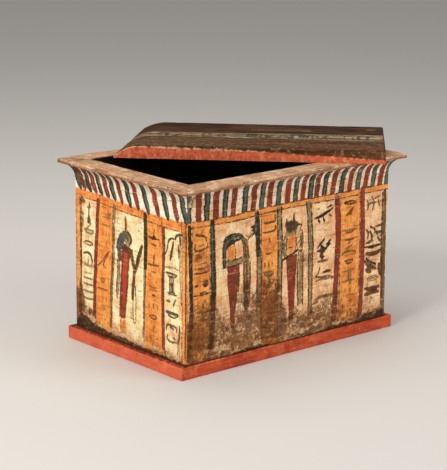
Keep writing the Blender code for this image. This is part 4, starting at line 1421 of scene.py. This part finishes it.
def buildLid():
    s = lid
    half, deep = s["length"] / 2, s["depth"] / 2
    noseEnd = s["nose"] - half
    xs = np.concatenate([ticks(-half, noseEnd, s["step"]), ticks(noseEnd, half, s["step"])[1:]])
    ys = ticks(-deep, deep, s["step"])
    rise = np.linspace(0, 1, s["rows"])[:, None]

    def sheet(x, y, share):
        x, y, share = np.broadcast_arrays(x, y, share)
        return np.stack([x, y, lidHeight(x, y) * share], -1)

    def side(points, redStart, wornStart):  # both functions of the place along, in millimetres
        x, z = points[..., 0] * 1000, points[..., 2] * 1000
        top = lidHeight(points[..., 0], points[..., 1]) * 1000 - z
        redStart, wornStart = redStart(x), wornStart(x)
        made = {name: np.full(x.shape, far) for name in lidLayers}
        made["red"] = np.clip(redStart - top, -far, far)
        edge = np.minimum(np.abs(top - redStart) + wornStart, z * 1.1 + 0.2)
        made["edge"] = np.minimum(edge, (x + half * 1000) * 0.12 - 0.4)
        return points, made

    alongTop, upTop = xs * 1000, ys * 1000
    painted = lidTopLayers(alongTop, upTop)
    top = {name: painted[name] for name in ("orange", "green", "grey", "ink")}
    frontEdge = (upTop + deep * 1000)[:, None] + 1.0 + smooth(-200, 40, alongTop)[None, :] * 5
    top["edge"] = np.minimum(np.minimum(frontEdge, far), (alongTop + half * 1000)[None, :] * 0.5 - 0.4)
    top["red"] = np.full(frontEdge.shape, far)

    def frontRed(x):
        return np.interp(x, (-303, -250, -150, 0, 60, 137, 237, 303), (0, 3, 5, 7, 10, 14, 19, 23))

    def level(value):
        return lambda x: x * 0 + value

    grids = [(sheet(xs[None, :], ys[:, None], 1.0), top),
             side(sheet(xs[None, :], -deep, rise), frontRed, lambda x: smooth(-80, 120, x) * 2 - 1.6),
             side(sheet(xs[None, ::-1], deep, rise), level(0.0), level(1.5)),
             side(sheet(half, ys[None, :], rise), level(24.0), level(4.0)),
             side(sheet(-half, ys[None, ::-1], rise), level(0.0), level(-1.0))]
    under = np.array([(x, -deep, 0) for x in xs[:-1]] + [(half, y, 0) for y in ys[:-1]] +
                     [(x, deep, 0) for x in xs[:0:-1]] + [(-half, y, 0) for y in ys[:0:-1]])[::-1]
    turn = math.radians(s["turn"])

    def shift(points):
        x, y, z = points.T
        thick = lidHeight(x, y)
        onTop = z > thick * 0.98
        sideGap = np.minimum(np.minimum(deep - np.abs(y), half - x), x + half + 0.01)
        chips = smooth(0.2, 0.8, roughNoise(points, 0.03, 141)) * s["chips"]
        radius = s["arris"] + chips + smooth(0.16, 0.3, x) * smooth(-0.1, -0.18, y) * s["softCorner"]
        radius = np.minimum(radius, thick * 0.6)
        upper = smooth(0.0, 1.0, z / np.maximum(thick, 1e-4))
        drop = np.clip(radius - sideGap, 0, None) ** 2 / radius * 0.9 * onTop
        inward = np.clip(radius - (thick - z), 0, None) ** 2 / radius * 0.8 * upper
        grainPlace = np.stack([x * 0.05, y, z * 0], -1)
        grain = softNoise(grainPlace, 0.006, 151) * s["grain"] * onTop * smooth(0, 0.01, sideGap)
        towardsNose = np.clip((half - x) / (s["length"] - s["nose"]), 0, 1)
        skewed = s["noseSkew"] * (y + deep) / s["depth"] * towardsNose
        movedX = x - inward * (half - x < 1e-6) + skewed
        movedY = y - np.sign(y) * inward * (deep - np.abs(y) < 1e-6)
        moved = np.stack([movedX, movedY, z - drop + grain], -1) + warp(points) * (z[:, None] > 1e-5)
        cos, sin = math.cos(turn), math.sin(turn)
        turned = moved @ np.array([[cos, sin, 0], [-sin, cos, 0], [0, 0, 1]])
        return turned + np.array([*s["shift"], rimTop + s["gap"]])

    piece = joinPatches("varnished_lid", grids, [under], dict.fromkeys(lidLayers, far), shift)
    shadeSoftly(piece, 40)
    place(piece, "lid", "lid_varnish", lidFinish(), insideFinish)


buildLid()


# Floor, light and camera

stage = {"floor": srgb(206, 203, 200), "size": 60, "sky": 0.395, "air": (1.0, 0.98, 0.95, 1.0),
         "aim": (0, 0, 0.2),
         "lights": {"key": (121.0, 1.6, (-3.4, -0.6, 2.6), (1.0, 0.95, 0.88)),
                    "fill": (68.0, 2.6, (2.0, -3.1, 1.6), (1.0, 0.98, 0.94)),
                    "top": (36.0, 2.4, (0.2, 0.8, 3.2), (1.0, 0.98, 0.95))}}


def buildStage():
    bpy.ops.mesh.primitive_plane_add(size=stage["size"])
    floor = bpy.context.object
    floor.name = "floor"
    f = Finish("Pale floor")
    floor.data.materials.append(f.set(Base_Color=stage["floor"], Roughness=0.9, Specular_IOR_Level=0.2))
    world = bpy.data.worlds.new("Studio")
    world.use_nodes = True
    background = world.node_tree.nodes["Background"]
    background.inputs["Color"].default_value = stage["air"]
    background.inputs["Strength"].default_value = stage["sky"]
    bpy.context.scene.world = world
    for name, (energy, size, spot, colour) in stage["lights"].items():
        data = bpy.data.lights.new(name, "AREA")
        data.energy, data.size, data.color = energy, size, colour
        light = addObject(name, data)
        light.location = spot
        light.rotation_euler = (Vector(stage["aim"]) - Vector(spot)).to_track_quat("-Z", "Y").to_euler()


# The camera that fits the chest's corners in the photo: degrees, metres, and the focal length in pixels
view = {"yaw": -41.05, "pitch": 13.95, "roll": 0.59, "focal": 1741.0, "pixels": 470, "sensor": 36.0,
        "away": 3.979, "right": 0.0215, "up": -0.0199, "aim": 0.21}


def buildCamera():
    yaw, pitch, roll = (math.radians(view[name]) for name in ("yaw", "pitch", "roll"))
    back = Vector((math.sin(yaw) * math.cos(pitch), -math.cos(yaw) * math.cos(pitch), math.sin(pitch)))
    level = Vector((math.cos(yaw), math.sin(yaw), 0))
    above = back.cross(level)
    right = level * math.cos(roll) + above * math.sin(roll)
    up = above * math.cos(roll) - level * math.sin(roll)
    spot = Vector((0, 0, view["aim"])) + back * view["away"] - right * view["right"] - up * view["up"]
    data = bpy.data.cameras.new("photo")
    data.sensor_width = view["sensor"]
    data.lens = view["focal"] * view["sensor"] / view["pixels"]
    camera = addObject("photo", data)
    camera.matrix_world = Matrix([*zip(right, up, back, spot), (0, 0, 0, 1)])
    bpy.context.scene.camera = camera


buildStage()
buildCamera()
bpy.context.scene.view_settings.view_transform = "Standard"

print("done")
